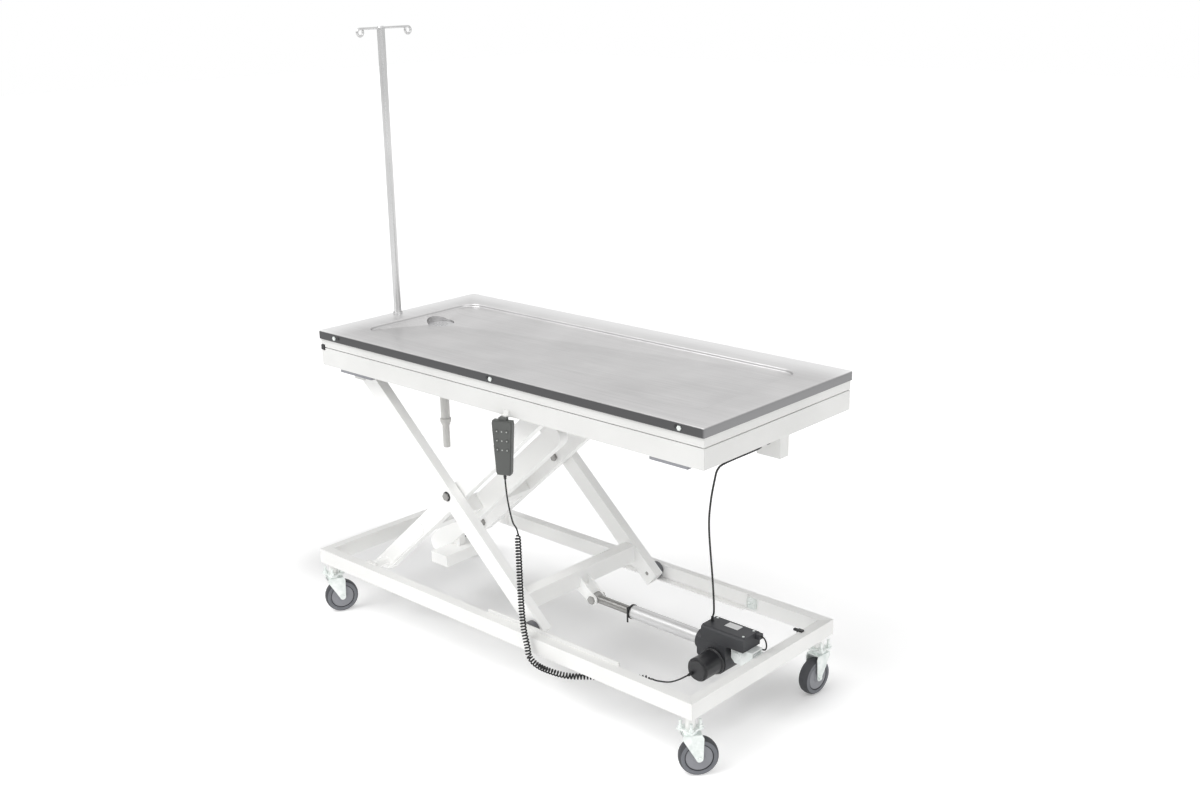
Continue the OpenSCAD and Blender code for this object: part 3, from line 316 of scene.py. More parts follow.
finishes = {
    # polyester powder coat, sprayed and baked: soft white gloss with a faint orange peel
    "powderWhite": paintMaterial("powderCoatWhite", "#ECECEA", "#F4F4F2", 0.40, 0.0016, 0.00005),
    # the same coat in a lit and a shaded copy: painted light makes it lighter on the arms and far rails, and painted
    # shade makes it darker on the upper frames, so that two plain lamps give an even white
    "powderWhitePaintedLight": paintMaterial("powderCoatWhitePaintedLight", "#FAFAF8", "#FFFFFE", 0.40, 0.0016, 0.00005),
    "powderWhitePaintedShade": paintMaterial("powderCoatWhitePaintedShade", "#E0E0DE", "#E8E8E6", 0.40, 0.0016, 0.00005),
    # ABS housings, moulded with a fine spark grain that takes the shine off; the grain is drawn coarser than real
    "housingGrey": paintMaterial("mouldedHousingGrey", "#313235", "#3B3C3F", 0.48, 0.0009, 0.00008),
    "handsetGrey": paintMaterial("mouldedHandsetGrey", "#535553", "#5D5F5D", 0.50, 0.0008, 0.00008),
    "keyPale": paintMaterial("mouldedKeyPale", "#B7B9B6", "#C4C6C3", 0.42, 0.0008, 0.00003),
    "keyGrey": paintMaterial("keyMembraneGrey", "#4D4F4D", "#575957", 0.38, 0.0008, 0.00003),
    "plasticBlack": paintMaterial("mouldedBlack", "#1C1C1E", "#262628", 0.42, 0.0008, 0.00006),
    # stove enamel on the motor shell: darker and glossier
    "enamelBlack": paintMaterial("enamelBlack", "#1D1D1F", "#27272A", 0.30, 0.0020, 0.00004),
    # thermoplastic rubber tyre: the tread ring and the side's groove are darker, as painted shade, with a paler side
    # and hub disc
    "paintedShadeRubber": paintMaterial("paintedShadeRubberDark", "#3A3B3E", "#47484C", 0.62, 0.0010, 0.00012),
    "tyreRubber": paintMaterial("tyreRubberGrey", "#696B70", "#75777C", 0.60, 0.0010, 0.00010),
    # polypropylene hubs and polyamide rollers: plain greys with a low sheen
    "hubPlastic": paintMaterial("hubPolypropylene", "#85868B", "#94959A", 0.50, 0.0010, 0.00006),
    "rollerPlastic": paintMaterial("rollerPolyamide", "#5A5B5E", "#68696C", 0.45, 0.0010, 0.00006),
    # PVC jacket, extruded: near black and half matt; and a smooth off-white waste pipe
    "cordJacket": paintMaterial("cordJacketBlack", "#131314", "#1B1B1D", 0.55, 0.0009, 0.00004),
    "pipePlastic": paintMaterial("wastePipePolypropylene", "#CFCECB", "#DDDCD9", 0.38, 0.0015, 0.00004),
    # a self-adhesive film left bare: matt and pale
    "labelFilm": paintMaterial("bareLabelFilm", "#DCDCDC", "#E6E6E6", 0.55, 0.0012, 0.00002),
    # 304 sheet, brushed along the table: long hair lines that spread the light across them; real ones lie under 0.2 mm
    # apart and are drawn 2.4 mm apart; over it lie the painted reflections of the rims and the skirt
    "stainlessSheet": metalMaterial("stainlessSheetBrushedPaintedReflection", "#C6C5C5", "#D9D8D8", 0.36, (3.0, 420.0, 420.0), 0.00002,
                                    paintedReflection=trayPaintedReflection),
    # a spun bowl is softer in gloss, and the drawn pole is polished with lines along it
    "stainlessSpun": metalMaterial("stainlessSpunBowl", "#C9C9CA", "#DBDBDC", 0.42, (300.0, 300.0, 300.0), 0.00002,
                                   metallic=0.7),
    "stainlessTube": metalMaterial("stainlessTubePolished", "#BEBEBE", "#D2D2D2", 0.22, (260.0, 260.0, 4.0), 0.00001),
    # bright zinc plate, passivated: cool, a little green, cloudy
    "zincPlate": metalMaterial("zincPlatePassivated", "#DDE3E0", "#F2F6F4", 0.38, (60.0, 60.0, 60.0), 0.00003, 30.0,
                               metallic=0.55),
    "zincBright": metalMaterial("zincPlateBright", "#EAEFED", "#F8FBFA", 0.30, (60.0, 60.0, 60.0), 0.00003, 30.0,
                                metallic=0.25),
    # hard chrome, ground round: a sharp grey line of light; then a clear anodised tube, soft and pale
    "groundRod": metalMaterial("hardChromeGround", "#91908E", "#A5A4A2", 0.30, (500.0, 8.0, 8.0), 0.00001),
    "aluminiumTube": metalMaterial("anodisedAluminiumTube", "#CFCFCF", "#DEDEDE", 0.42, (6.0, 300.0, 300.0), 0.00002,
                                   metallic=0.6),
}
slotFinish = {
    "white_paint": "powderWhite", "stainless": "stainlessSheet", "zinc": "zincPlate", "polished_rod": "groundRod",
    "aluminium_tube": "aluminiumTube", "tyre_grey": "tyreRubber", "roller": "rollerPlastic",
    "black_paint": "enamelBlack", "grey_housing": "housingGrey", "black_plastic": "plasticBlack",
    "handset_grey": "handsetGrey", "key_cap": "keyPale", "pipe_plastic": "pipePlastic", "black_cord": "cordJacket",
}
slotOf = {part["node"]: part["material_slot"] for part in frame["record"]["subparts"]}
print("materials made:", len(finishes))


# cords: the routes of the part's source, in metres
def catmull(a, b, c, d, t):
    return 0.5 * (2 * b + (c - a) * t + (2 * a - 5 * b + 4 * c - d) * t * t + (3 * b - a - 3 * c + d) * t * t * t)


def smoothRoute(points, steps):
    points = [Vector(p) for p in points]
    last = len(points) - 1
    fine = [catmull(points[max(i - 1, 0)], points[i], points[i + 1], points[min(i + 2, last)], k / steps)
            for i in range(last) for k in range(steps)]
    return fine + [points[last]]


def sweptTube(name, path, radius, sides, reference):
    vertices, faces, count = [], [], len(path)
    side = None
    for i, centre in enumerate(path):
        ahead = (path[min(i + 1, count - 1)] - path[max(i - 1, 0)]).normalized()
        if side is None:
            side = ahead.cross(Vector(reference)).normalized()
        side = (side - ahead * side.dot(ahead)).normalized()  # carried along, so the tube never twists
        other = ahead.cross(side)
        for k in range(sides):
            angle = 2 * math.pi * k / sides
            vertices.append(centre + radius * (math.cos(angle) * side + math.sin(angle) * other))
    for i in range(count - 1):
        for k in range(sides):
            m = (k + 1) % sides
            faces.append((i * sides + k, i * sides + m, (i + 1) * sides + m, (i + 1) * sides + k))
    faces.append(tuple(reversed(range(sides))))
    faces.append(tuple((count - 1) * sides + k for k in range(sides)))
    return meshObject(name, vertices, faces, 50)


cordSizes = {
    # the flexible jacketed wire, and the curl it is wound in
    "wire": 0.0021, "coil": 0.0064, "pitch": 0.0084, "ringsPerCurl": 20, "coilFollow": 0.87,
    "lead": [(0.107495, -0.313626, 0.65135), (0.107495, -0.313626, 0.64335), (0.1085, -0.314, 0.62555),
             (0.118, -0.317, 0.580), (0.134, -0.319, 0.532), (0.147, -0.320, 0.518), (0.153, -0.320, 0.508)],
    "fall": [(0.153, -0.320, 0.508), (0.154, -0.320, 0.430), (0.156, -0.320, 0.318), (0.162, -0.320, 0.242),
             (0.174, -0.320, 0.190)],
    "run": [(0.174, -0.320, 0.190), (0.180, -0.320, 0.164), (0.206, -0.320, 0.149), (0.250, -0.316, 0.144),
            (0.300, -0.298, 0.140), (0.342, -0.252, 0.134), (0.374, -0.204, 0.124), (0.404, -0.160, 0.116),
            (0.442, -0.132, 0.113)],
    "motor": [(0.442, -0.132, 0.113), (0.456, -0.131, 0.113), (0.494, -0.130, 0.122), (0.526, -0.132, 0.140),
              (0.548, -0.128, 0.156), (0.554, -0.118, 0.160), (0.554, -0.1102, 0.160)],
    "jumper": [(0.6742, 0.022, 0.252), (0.682, 0.022, 0.250), (0.688, 0.023, 0.240), (0.689, 0.024, 0.226),
               (0.683, 0.026, 0.216), (0.672, 0.0285, 0.213), (0.655, 0.0295, 0.212), (0.625, 0.0295, 0.210),
               (0.6042, 0.028, 0.208)],
    "cableRadius": 0.0025, "cableTop": (0.704, -0.214, 0.75), "cableFoot": (0.54, -0.006, 0.275),
    "cable": [(0.696, 0.0068, 0.78155), (0.698, -0.025, 0.78355), (0.7115, -0.060, 0.78555), (0.711, -0.180, 0.78455),
              (0.708, -0.207, 0.77555), (0.704, -0.214, 0.74955), (0.692, -0.213, 0.690), (0.678, -0.200, 0.615),
              (0.637, -0.132, 0.446), (0.590, -0.066, 0.335), (0.548, -0.016, 0.284), (0.535, -0.001, 0.269),
              (0.534, 0.0, 0.2602)],
}


def coilPath(route, firstIn, lastIn, sizes):
    # a helix round a route; firstIn and lastIn: curls by which each end is open already, or straight where below 0
    fine = smoothRoute(route, 16)
    sums = [0.0]
    for i in range(len(fine) - 1):
        sums.append(sums[-1] + (fine[i + 1] - fine[i]).length)
    total, rings = sums[-1], sizes["ringsPerCurl"]
    count = round(total / sizes["pitch"]) * rings
    path, i = [], 0
    for k in range(count + 1):
        s = total * k / count
        while i < len(fine) - 2 and sums[i + 1] < s:
            i += 1
        t = (s - sums[i]) / (sums[i + 1] - sums[i])
        centre = fine[i].lerp(fine[i + 1], t)
        first = (fine[i + 1] - fine[max(i - 1, 0)]).normalized()
        second = (fine[min(i + 2, len(fine) - 1)] - fine[i]).normalized()
        ahead = first.lerp(second, t).normalized()
        side = ahead.cross(Vector((0.2, 1, 0.1))).normalized()
        other = ahead.cross(side)
        inset = max(0, min(1, (firstIn + k / rings) / 1.5, (lastIn + (count - k) / rings) / 1.5))
        angle = 2 * math.pi * k / rings
        path.append(centre + sizes["coil"] * inset * (math.cos(angle) * side + math.sin(angle) * other))
    return path


def pathLength(path):
    return sum((b - a).length for a, b in zip(path, path[1:]))


def declareCord(piece, path):
    print(piece.name, "length", round(pathLength(path), 3))


def makeCords(sizes):
    wire = sizes["wire"]
    jacket = finishes["cordJacket"]
    leadPath = smoothRoute(sizes["lead"], 6)
    lead = sweptTube("handsetLead", leadPath, wire, 10, (0.2, 1, 0.1))
    placeOnBody(lead, "lift_frame", ["handset_lead"], jacket)
    declareCord(lead, leadPath)
    fallPath = coilPath(sizes["fall"], -0.5, 1.5, sizes)
    fall = sweptTube("handsetCoilFall", fallPath, wire, 8, (0.2, 0.3, 1))
    fall.data.materials.append(jacket)
    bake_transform(fall)
    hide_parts("handset_coil_fall")
    declareCord(fall, fallPath)
    runPath = coilPath(sizes["run"], 1.5, -0.5, sizes)
    run = sweptTube("handsetCoilRun", runPath, wire, 8, (0.2, 0.3, 1))
    placeOnBody(run, "base", ["handset_coil_run"], jacket)
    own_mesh(run)
    declareCord(run, runPath)
    motorPath = smoothRoute(sizes["motor"], 6)
    motorLead = sweptTube("motorLead", motorPath, wire, 10, (0.1, 0.2, 1))
    placeOnBody(motorLead, "base", ["motor_lead"], jacket)
    declareCord(motorLead, motorPath)
    jumperPath = smoothRoute(sizes["jumper"], 6)
    jumper = sweptTube("motorJumper", jumperPath, wire, 10, (0.1, 1, 0.2))
    placeOnBody(jumper, "base", ["motor_jumper"], jacket)
    declareCord(jumper, jumperPath)
    cablePath = smoothRoute(sizes["cable"], 8)
    cable = sweptTube("tiltCable", cablePath, sizes["cableRadius"], 14, (0.3, 0.2, 0.1))
    cable.data.materials.append(jacket)
    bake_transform(cable)
    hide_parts("tilt_cable")
    declareCord(cable, cablePath)


makeCords(cordSizes)
print("cords laid")


# rigid nodes, each redrawn with the rounded edges its making gives
# the angles are in degrees; level faces are joined only where the area stays within areaSlack of the whole
edgeSizes = {"weld": 2e-6, "flatWithin": 0.6, "areaSlack": 0.0005, "segments": 3, "roundFrom": 32, "sharpPlain": 38,
             "sharpRounded": 80}


def dress(node, name, width, finish=None):
    # a merged copy of the node with softened edges stands for it
    piece = bpy.data.objects.new(name, nodes[node].data.copy())
    scene.collection.objects.link(piece)
    shell = bmesh.new()
    shell.from_mesh(piece.data)
    bmesh.ops.remove_doubles(shell, verts=shell.verts, dist=edgeSizes["weld"])
    area = sum(face.calc_area() for face in shell.faces)
    joined = shell.copy()
    bmesh.ops.dissolve_limit(joined, angle_limit=math.radians(edgeSizes["flatWithin"]), verts=joined.verts,
                             edges=joined.edges)
    whole = abs(sum(face.calc_area() for face in joined.faces) - area) < edgeSizes["areaSlack"] * area
    (joined if whole else shell).to_mesh(piece.data)
    joined.free()
    shell.free()
    if width:
        soften = piece.modifiers.new("soften", "BEVEL")
        soften.width = width
        soften.segments = edgeSizes["segments"]
        soften.limit_method = "ANGLE"
        soften.angle_limit = math.radians(edgeSizes["roundFrom"])
        soften.use_clamp_overlap = True
        soften.miter_outer = "MITER_ARC"
    even = piece.modifiers.new("even", "WEIGHTED_NORMAL")
    even.keep_sharp = True
    for polygon in piece.data.polygons:
        polygon.use_smooth = True
    piece.data.set_sharp_from_angle(angle=math.radians(edgeSizes["sharpRounded" if width else "sharpPlain"]))
    settle(piece)
    slot = slotOf[node]
    return placeOnBody(piece, bodyOf[node], [node], finishes[finish or slotFinish[slot]])


rigidPieces = [
    ("base_rails", "baseRails", 0.0025), ("base_ends", "baseEnds", 0.0025), ("base_tracks", "baseTracks", 0.0010),
    ("rail_fittings", "railFittings", 0.0006), ("caster_plates", "casterPlates", 0.0007),
    ("actuator_tube", "actuatorTube", 0.0012), ("wiper_ring", "wiperRing", 0.0010),
    ("gear_housing", "gearHousing", 0.0035), ("motor", "motorShell", 0.0025), ("control_box", "controlBox", 0.0030),
    ("rear_bracket", "rearBracket", 0.0010), ("actuator_rod", "actuatorRod", 0.0012),
    ("inner_arms", "innerArms", 0.0025), ("inner_cross_tubes", "innerCrossTubes", 0.0025),
    ("inner_spine", "innerSpine", 0.0030), ("inner_pins", "innerPins", 0.0008),
    ("outer_arms", "outerArms", 0.0025), ("outer_crossbar", "outerCrossbar", 0.0025),
    ("clevis_plates", "clevisPlates", 0.0010), ("outer_pins", "outerPins", 0.0008),
    ("base_roller_near", "baseRollerNear", 0.0015), ("base_roller_far", "baseRollerFar", 0.0015),
    ("top_roller_near", "topRollerNear", 0.0015), ("top_roller_far", "topRollerFar", 0.0015),
    ("lift_rails", "liftRails", 0.0025), ("lift_cross_members", "liftCrossMembers", 0.0025),
    ("lift_tracks", "liftTracks", 0.0012), ("hinge_blocks", "hingeBlocks", 0.0012),
    ("frame_cleats", "frameCleats", 0.0015), ("tilt_housing", "tiltHousing", 0.0030),
    ("tilt_rod", "tiltRod", 0.0010), ("handset_hook", "handsetHook", 0.0006),
    ("deck_frame", "deckFrame", 0.0025), ("tray_bolts", "trayBolts", 0.0006),
    ("drain_strainer", "drainStrainer", 0.0004), ("drain_pipe", "drainPipe", 0.0012),
    ("pole_socket", "poleSocket", 0.0008), ("drip_pole", "dripPole", 0.0010),
    ("handset_case", "handsetCase", 0.0030),
]
wheelSizes = {
    "half": 0.016, "segments": 72,
    # rings from the tread inward: finish, then (share of the half width, radius) pairs from one flank's outside in
    "tread": [(0.25, 0.0500), (0.66, 0.0487), (0.90, 0.0458)],
    "side": [(0.90, 0.0458), (0.95, 0.0440), (0.95, 0.0380), (0.88, 0.0362)],
    "groove": [(0.88, 0.0362), (0.76, 0.0352), (0.76, 0.0338)],
    "hub": [(0.76, 0.0338), (0.84, 0.0330), (0.80, 0.0150), (1.00, 0.0125), (1.06, 0.0110), (1.06, 0.00405)],
}


def makeWheel(node, name, sizes):
    centre, axis, half = jointOf[node]["pos_m"], jointOf[node]["axis"], sizes["half"]
    # painted shade: the tread ring and the groove take the darker rubber
    rings = (("tread", "paintedShadeRubber"), ("side", "tyreRubber"), ("groove", "paintedShadeRubber"), ("hub", "hubPlastic"))
    for ring, finish in rings:
        flank = [(share * half, radius) for share, radius in sizes[ring]]
        piece = lathe(name + ring.capitalize(), flank + [(-along, radius) for along, radius in reversed(flank)],
                      centre, axis, sizes["segments"])
        placeOnBody(piece, node, [node], finishes[finish])


def repaint(piece, finish, test):
    # the faces whose middle passes the test get a second finish
    piece.data.materials.append(finishes[finish])
    for polygon in piece.data.polygons:
        if test(polygon.center):
            polygon.material_index = 1


# painted shade: the frame cleats take the grey hub finish to stand for the dark shade along the near upper rail's lower
# edge
ownFinish = {"drip_pole": "stainlessTube", "drain_strainer": "stainlessSpun", "pole_socket": "stainlessTube",
             "rail_fittings": "zincPlate", "hinge_blocks": "plasticBlack", "rear_bracket": "zincBright",
             "handset_hook": "powderWhite", "frame_cleats": "hubPlastic", "inner_pins": "groundRod",
             "outer_pins": "groundRod"}
# painted light: the arms take the lighter copy of the coat
for node in ("inner_arms", "inner_cross_tubes", "inner_spine", "outer_arms", "outer_crossbar", "clevis_plates"):
    ownFinish[node] = "powderWhitePaintedLight"
# painted shade: the upper frames take the darker copy of the coat
for node in ("lift_rails", "lift_cross_members", "lift_tracks", "deck_frame", "tilt_housing"):
    ownFinish[node] = "powderWhitePaintedShade"
endClipFrom = 0.655  # the black clip on the right end tube is one of the rail fittings
for node, name, width in rigidPieces:
    piece = dress(node, name, width, ownFinish.get(node))
    if node == "rail_fittings":
        repaint(piece, "plasticBlack", lambda middle: middle.x > endClipFrom)
    # painted light: the far halves of the base rails and tracks take the lighter copy of the coat
    if node in ("base_rails", "base_tracks"):  # the far halves
        repaint(piece, "powderWhitePaintedLight", lambda middle: middle.y > 0)
for place in ("near_left", "near_right", "far_left", "far_right"):
    tag = "".join(word.capitalize() for word in place.split("_"))
    dress("fork_" + place, "casterFork" + tag, 0.0008)
    makeWheel("wheel_" + place, "casterWheel" + tag, wheelSizes)
for i in range(1, 7):
    dress("button_%d" % i, "key%d" % i, 0.0009, "keyGrey")
print("rigid nodes dressed")


# tray: pressed sheet, drawn as rings from the skirt to the drain
traySizes = {
    "middle": 0.040, "halfLength": 0.700, "halfWidth": 0.300, "rim": 0.90395, "skirt": 0.024, "fold": 0.0035,
    "basinMiddle": 0.037, "basinHalfLength": 0.6075, "basinHalfWidth": 0.205, "basinCorner": 0.045,
    "edgeDrop": 0.009, "drainDrop": 0.027, "lip": 0.0045, "drain": (-0.523, 0.040), "sink": 0.040, "sinkDrop": 0.0035,
    "bowl": 0.032, "bowlLip": 0.001, "bowlDrop": 0.004, "sheet": 0.0015, "foldCorner": 0.0045, "lipStart": 0.006,
    "rimCorner": 0.004, "perSide": 14, "perCorner": 10, "floorRings": 14, "floorCrowding": 0.8,
}


corners = ((1, 1), (-1, 1), (-1, -1), (1, -1))


def outline(cx, hx, hy, radius, sizes):
    # a rounded rectangle, with the same count of points on every ring
    points = []
    for i, (cornerX, cornerY) in enumerate(corners):
        for k in range(sizes["perCorner"] + 1):
            a = math.radians(90 * i + 90 * k / sizes["perCorner"])
            points.append((cx + cornerX * (hx - radius) + radius * math.cos(a),
                           cornerY * (hy - radius) + radius * math.sin(a)))
        nextX, nextY = corners[(i + 1) % 4]
        a = math.radians(90 * (i + 1))
        startX, startY = points[-1]
        endX = cx + nextX * (hx - radius) + radius * math.cos(a)
        endY = nextY * (hy - radius) + radius * math.sin(a)
        for k in range(1, sizes["perSide"]):
            t = k / sizes["perSide"]
            points.append((startX + (endX - startX) * t, startY + (endY - startY) * t))
    return points


def makeTray(sizes):
    rim, fold, lip = sizes["rim"], sizes["fold"], sizes["lip"]
    outer = (sizes["halfLength"], sizes["halfWidth"])
    basin = (sizes["basinHalfLength"], sizes["basinHalfWidth"])
    rings = []

    def addRing(cx, hx, hy, radius, z):
        rings.append([Vector((x, y, z)) for x, y in outline(cx, hx, hy, radius, sizes)])

    for z in (rim - sizes["skirt"], rim - sizes["skirt"] / 2, rim - fold):
        addRing(sizes["middle"], *outer, sizes["foldCorner"], z)
    turns = [math.radians(18 * step) for step in range(6)]  # a quarter turn in five steps
    for a in turns[1:]:  # folded edge
        inset = fold * (1 - math.cos(a))
        addRing(sizes["middle"], outer[0] - inset, outer[1] - inset, sizes["foldCorner"] - inset * 0.5,
                rim - fold + fold * math.sin(a))
    for share in (0.3, 0.7):  # flat rim
        cx = sizes["middle"] + (sizes["basinMiddle"] - sizes["middle"]) * share
        hx = outer[0] + (basin[0] + sizes["lipStart"] - outer[0]) * share
        hy = outer[1] + (basin[1] + sizes["lipStart"] - outer[1]) * share
        addRing(cx, hx, hy, sizes["rimCorner"] + sizes["basinCorner"] * share, rim)
    for a in turns:  # lip rolls down
        grow = lip * (1 - math.sin(a))
        addRing(sizes["basinMiddle"], basin[0] + grow, basin[1] + grow, sizes["basinCorner"] + grow,
                rim - lip * (1 - math.cos(a)))
    for a in turns[1:]:  # and turns out on to the floor
        shrink = lip * (1 - math.cos(a))
        addRing(sizes["basinMiddle"], basin[0] - shrink, basin[1] - shrink, sizes["basinCorner"] - shrink,
                rim - sizes["edgeDrop"] + lip - lip * math.sin(a))
    edge = rings[-1]
    drain = Vector((*sizes["drain"], rim - sizes["drainDrop"]))
    for step in range(1, sizes["floorRings"] + 1):
        t = (step / sizes["floorRings"]) ** sizes["floorCrowding"]
        ring = []
        for p in edge:
            flat = Vector((p.x - drain.x, p.y - drain.y, 0))
            reach = sizes["sink"] / flat.length
            share = (1 - t) + reach * t
            ring.append(drain + (p - drain) * share)
        rings.append(ring)
    sinkFloor = drain.z - sizes["sinkDrop"]
    for radius, z in ((sizes["sink"], sinkFloor), (sizes["bowl"] + sizes["bowlLip"], sinkFloor),
                      (sizes["bowl"], sinkFloor - sizes["bowlDrop"])):
        ring = []
        for p in edge:
            flat = Vector((p.x - drain.x, p.y - drain.y, 0)).normalized()
            ring.append(Vector((drain.x + flat.x * radius, drain.y + flat.y * radius, z)))
        rings.append(ring)
    count = len(rings[0])
    vertices = [v for ring in rings for v in ring]
    faces = []
    for i in range(len(rings) - 1):
        for k in range(count):
            m = (k + 1) % count
            faces.append((i * count + k, i * count + m, (i + 1) * count + m, (i + 1) * count + k))
    tray = meshObject("traySheet", vertices, faces)
    wall = tray.modifiers.new("sheet", "SOLIDIFY")
    wall.thickness = sizes["sheet"]
    wall.offset = -1
    settle(tray)
    smoothBy(tray, 40)
    placeOnBody(tray, "deck", ["tray"], finishes["stainlessSheet"])


makeTray(traySizes)
print("tray pressed")


# small parts the solids leave plain
fittingSizes = {
    "reliefBore": 0.0021,
    "relief": [(0.0, 0.0046), (0.003, 0.0046), (0.0035, 0.0036), (0.0055, 0.0036), (0.006, 0.0042), (0.0075, 0.0042),
               (0.008, 0.0034), (0.010, 0.0034), (0.0105, 0.0038), (0.012, 0.0038), (0.0125, 0.0030), (0.014, 0.0027)],
    "reliefs": [("lift_frame", (0.107495, -0.313626, 0.65155), (0, 0, -1)),
                ("base", (0.554, -0.110, 0.160), (0, -1, 0)), ("base", (0.534, 0.0, 0.260), (0.05, -0.1, 1)),
                ("lift_frame", (0.696, 0.007, 0.78155), (0.25, -1, 0.1))],
    "buffer": {"centre": (-0.434, -0.012, 0.1717), "radius": 0.017, "height": 0.010},
    "washer": {"radius": 0.0138, "bore": 0.0081, "thick": 0.0012, "x": -0.202991, "y": 0.2450, "z": 0.493274},
    # three screws on the lid, since the cable leaves at the fourth corner's side, and four round the motor's end
    "screw": {"radius": 0.0042, "height": 0.0022, "onBox": 0.8, "onMotor": 0.7,
              "box": [(0.534, 0.022, 0.260), (0.650, -0.022, 0.260), (0.650, 0.022, 0.260)],
              "motor": (0.568, -0.104, 0.172), "motorCircle": 0.029},
    "pip": {"radius": 0.0019, "sunk": 0.0003, "height": 0.0004, "taper": 0.8, "keyFace": 0.0003},
    # painted shade beside the tray bolts: flat black discs on the near skirt
    "plug": {"radius": 0.0046, "height": 0.0008, "x": (-0.5710, 0.0410, 0.6590), "y": -0.3005, "z": 0.8925},
    "label": {"x": (0.5735, 0.6155), "y": (-0.0015, 0.0235), "z": (0.2592, 0.2596)},
}
axisPoint = 0.0001  # radius at which a turned piece closes on its axis


def makeReliefs(sizes):
    bore = sizes["reliefBore"]
    profile = [(0.0, bore)] + sizes["relief"] + [(sizes["relief"][-1][0], bore)]
    for i, (body, spot, way) in enumerate(sizes["reliefs"]):
        relief = lathe("strainRelief%d" % (i + 1), profile, spot, way, 24)
        placeOnBody(relief, body, material=finishes["plasticBlack"])


def makeBuffer(foot):
    r, h = foot["radius"], foot["height"]
    profile = [(0.0, axisPoint), (0.0, r), (h * 0.8, r), (h, r * 0.85), (h, axisPoint)]
    placeOnBody(lathe("footBuffer", profile, foot["centre"], (0, 0, -1), 32), "inner_arm_pair",
                material=finishes["plasticBlack"])


def makeWashers(ring):
    profile = [(0, ring["bore"]), (0, ring["radius"]), (ring["thick"], ring["radius"]), (ring["thick"], ring["bore"])]
    washer = lathe("washerKind", profile, (0, 0, 0), (0, 0, 1), 36)
    places = [((ring["x"], side * ring["y"], ring["z"]), (0, side, 0)) for side in (-1, 1)]
    scatter("pivotWashers", washer, places, "outer_arm_pair", "plasticBlack")
    dropKind(washer)


def makeScrews(head):
    r, h = head["radius"], head["height"]
    profile = [(0, axisPoint), (0, r), (h * 0.5, r * 0.95), (h * 0.9, r * 0.6), (h, r * 0.3), (h, axisPoint)]
    screw = lathe("screwKind", profile, (0, 0, 0), (0, 0, 1), 20)
    scatter("boxScrews", screw, [(spot, (0, 0, 1)) for spot in head["box"]], "base", "zincPlate", head["onBox"])
    x, y, z = head["motor"]
    around = [((x + head["motorCircle"] * math.cos(a), y, z + head["motorCircle"] * math.sin(a)), (0, -1, 0))
              for a in (math.radians(45 + 90 * k) for k in range(4))]
    scatter("motorScrews", screw, around, "base", "enamelBlack", head["onMotor"])
    dropKind(screw)


def makePips(pip):
    # a pale moulded dot on each key, and one between the keys of each row
    r, h = pip["radius"], pip["height"]
    profile = [(-pip["sunk"], axisPoint), (-pip["sunk"], r), (h, r * pip["taper"]), (h, axisPoint)]
    middles = []
    for i in range(1, 7):
        node = "button_%d" % i
        out = -Vector(jointOf[node]["axis"])
        spots = [nodes[node].matrix_world @ v.co for v in nodes[node].data.vertices]
        top = max(spot.dot(out) for spot in spots)
        face = [spot for spot in spots if spot.dot(out) > top - pip["keyFace"]]
        middles.append(sum(face, Vector()) / len(face))
        placeOnBody(lathe("keyPip%d" % i, profile, middles[-1], out, 16), node, material=finishes["keyPale"])
    for i, (left, right) in enumerate(zip(middles[0::2], middles[1::2])):
        placeOnBody(lathe("rowPip%d" % (i + 1), profile, (left + right) / 2, out, 16), "lift_frame",
                    material=finishes["keyPale"])


# painted shade: flat black discs on the near skirt beside the tray bolts stand for the shadow at each bolt
def makeBoltShades(plug):
    r, h = plug["radius"], plug["height"]
    mark = lathe("plugKind", [(-h, axisPoint), (-h, r), (h, r), (h, axisPoint)], (0, 0, 0), (0, 0, 1), 20)
    scatter("skirtPlugs", mark, [((x, plug["y"], plug["z"]), (0, -1, 0)) for x in plug["x"]], "deck",
            "plasticBlack")
    dropKind(mark)


def makeLabel(film):
    (left, right), (near, far), (low, high) = film["x"], film["y"], film["z"]
    edge = ((left, near), (right, near), (right, far), (left, far))
    plate = meshObject("boxLabel", [(x, y, z) for z in (high, low) for x, y in edge], [
        (0, 1, 2, 3), (7, 6, 5, 4), (0, 4, 5, 1), (1, 5, 6, 2), (2, 6, 7, 3), (3, 7, 4, 0)])
    placeOnBody(plate, "base", material=finishes["labelFilm"])


makeReliefs(fittingSizes)
makeBuffer(fittingSizes["buffer"])
makeWashers(fittingSizes["washer"])
makeScrews(fittingSizes["screw"])
makePips(fittingSizes["pip"])
makeBoltShades(fittingSizes["plug"])
makeLabel(fittingSizes["label"])
print("small parts fitted")


# floor and light
stageSizes = {"floor": 40, "shadeMiddle": (-0.22, 0.08, 0), "shadeHalf": (0.78, 0.10, 10.0), "reach": 0.30,
              "nearGlow": 0.02, "farGlow": 0.42, "sky": 0.42, "mirrorHeight": (0.05, 0.55), "mirror": (0.66, 1.02)}


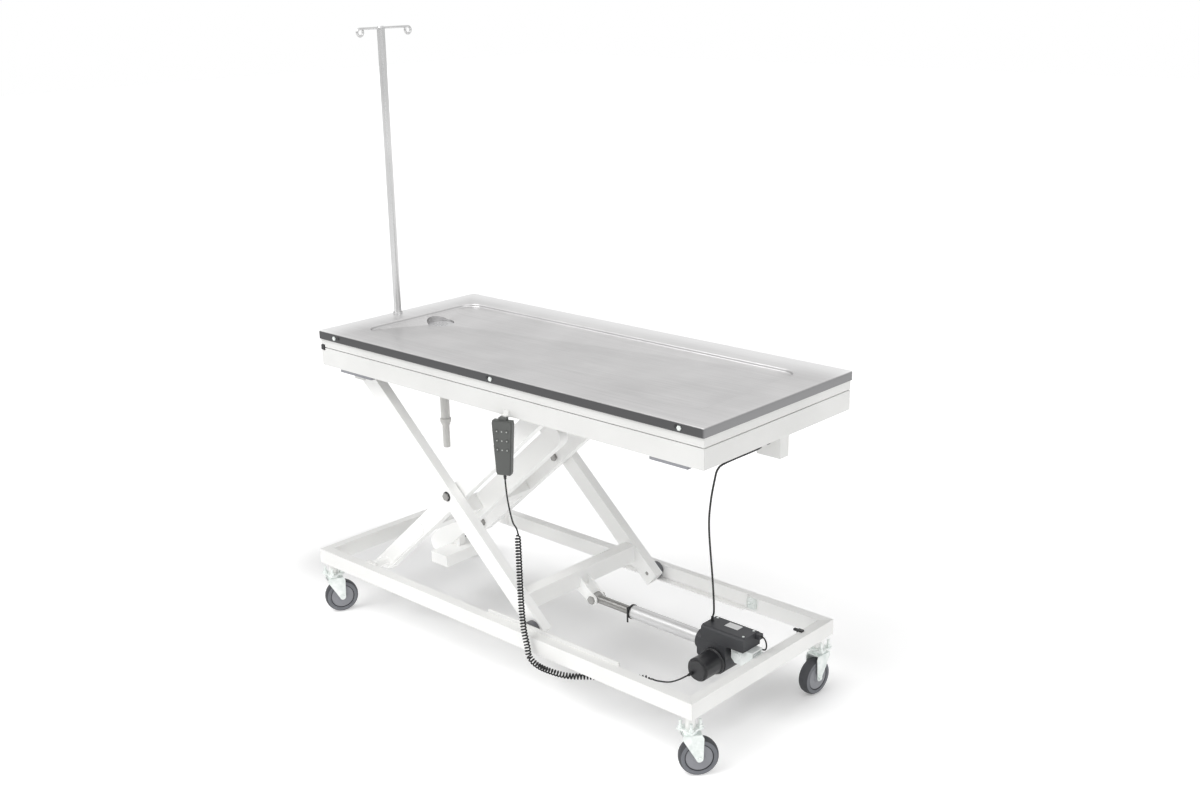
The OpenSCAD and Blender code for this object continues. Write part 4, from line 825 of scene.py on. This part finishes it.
def makeStage(sizes):
    bpy.ops.mesh.primitive_plane_add(size=sizes["floor"], location=(0, 0, 0))
    floor = bpy.context.active_object
    floor.name = "studioFloor"
    material, tree, place = newMaterial("paleFloorPaintedGlow")
    # painted light: the floor glows more with the distance from a box under the table, so that its shadow fades out to
    # white and the shade under the table is partly painted
    spot = place
    for operation, other in (("SUBTRACT", sizes["shadeMiddle"]), ("ABSOLUTE", None), ("SUBTRACT", sizes["shadeHalf"]),
                             ("MAXIMUM", (0, 0, 0))):
        values = {1: other} if other else {}
        spot = addNode(tree, "ShaderNodeVectorMath", values, {0: spot}, operation=operation).outputs[0]
    reach = addNode(tree, "ShaderNodeVectorMath", links={0: spot}, operation="LENGTH").outputs["Value"]
    glow = addNode(tree, "ShaderNodeMapRange", {
        "From Min": 0.0, "From Max": sizes["reach"], "To Min": sizes["nearGlow"], "To Max": sizes["farGlow"]},
        {"Value": reach}, interpolation_type="SMOOTHSTEP")
    shader = addNode(tree, "ShaderNodeBsdfPrincipled", {
        "Base Color": hexColour("#F4F4F4"), "Roughness": 1.0, "Emission Color": hexColour("#FFFFFF"),
        "Specular IOR Level": 0.1}, {"Emission Strength": glow.outputs[0]})
    addNode(tree, "ShaderNodeOutputMaterial", links={"Surface": shader.outputs[0]})
    floor.data.materials.append(material)
    world = bpy.data.worlds.new("studio")
    scene.world = world
    world.use_nodes = True
    tree = world.node_tree
    tree.nodes.clear()
    path = addNode(tree, "ShaderNodeLightPath")
    seen = addNode(tree, "ShaderNodeMath", {}, {
        0: path.outputs["Is Camera Ray"], 1: path.outputs["Is Transmission Ray"]}, operation="MAXIMUM")
    # metal sees a sky that is whiter higher up
    way = addNode(tree, "ShaderNodeTexCoord").outputs["Generated"]
    height = addNode(tree, "ShaderNodeSeparateXYZ", links={"Vector": way})
    mirror = addNode(tree, "ShaderNodeMapRange", {
        "From Min": sizes["mirrorHeight"][0], "From Max": sizes["mirrorHeight"][1], "To Min": sizes["mirror"][0],
        "To Max": sizes["mirror"][1]}, {"Value": height.outputs["Z"]})
    sky = addNode(tree, "ShaderNodeMix", {2: sizes["sky"]}, {
        "Factor": path.outputs["Is Glossy Ray"], 3: mirror.outputs[0]})
    soft = addNode(tree, "ShaderNodeBackground", {"Color": hexColour("#FFFFFF")}, {"Strength": sky.outputs[0]})
    white = addNode(tree, "ShaderNodeBackground", {"Color": hexColour("#FFFFFF"), "Strength": 1.0})
    mix = addNode(tree, "ShaderNodeMixShader", {}, {0: seen.outputs[0], 1: soft.outputs[0], 2: white.outputs[0]})
    addNode(tree, "ShaderNodeOutputWorld", links={"Surface": mix.outputs[0]})


lampSizes = {"keyLight": {"toward": (-0.22, -0.62, 0.75), "strength": 1.40, "softness": 40},
             "fillLight": {"toward": (0.75, -0.25, 0.60), "strength": 0.62, "softness": 60}}


def addSun(name, sizes):
    data = bpy.data.lights.new(name, "SUN")
    data.energy = sizes["strength"]
    data.angle = math.radians(sizes["softness"])
    lamp = bpy.data.objects.new(name, data)
    lamp.rotation_euler = (-Vector(sizes["toward"])).to_track_quat("-Z", "Y").to_euler()
    scene.collection.objects.link(lamp)


makeStage(stageSizes)
for name, sizes in lampSizes.items():
    addSun(name, sizes)
print("stage lit")
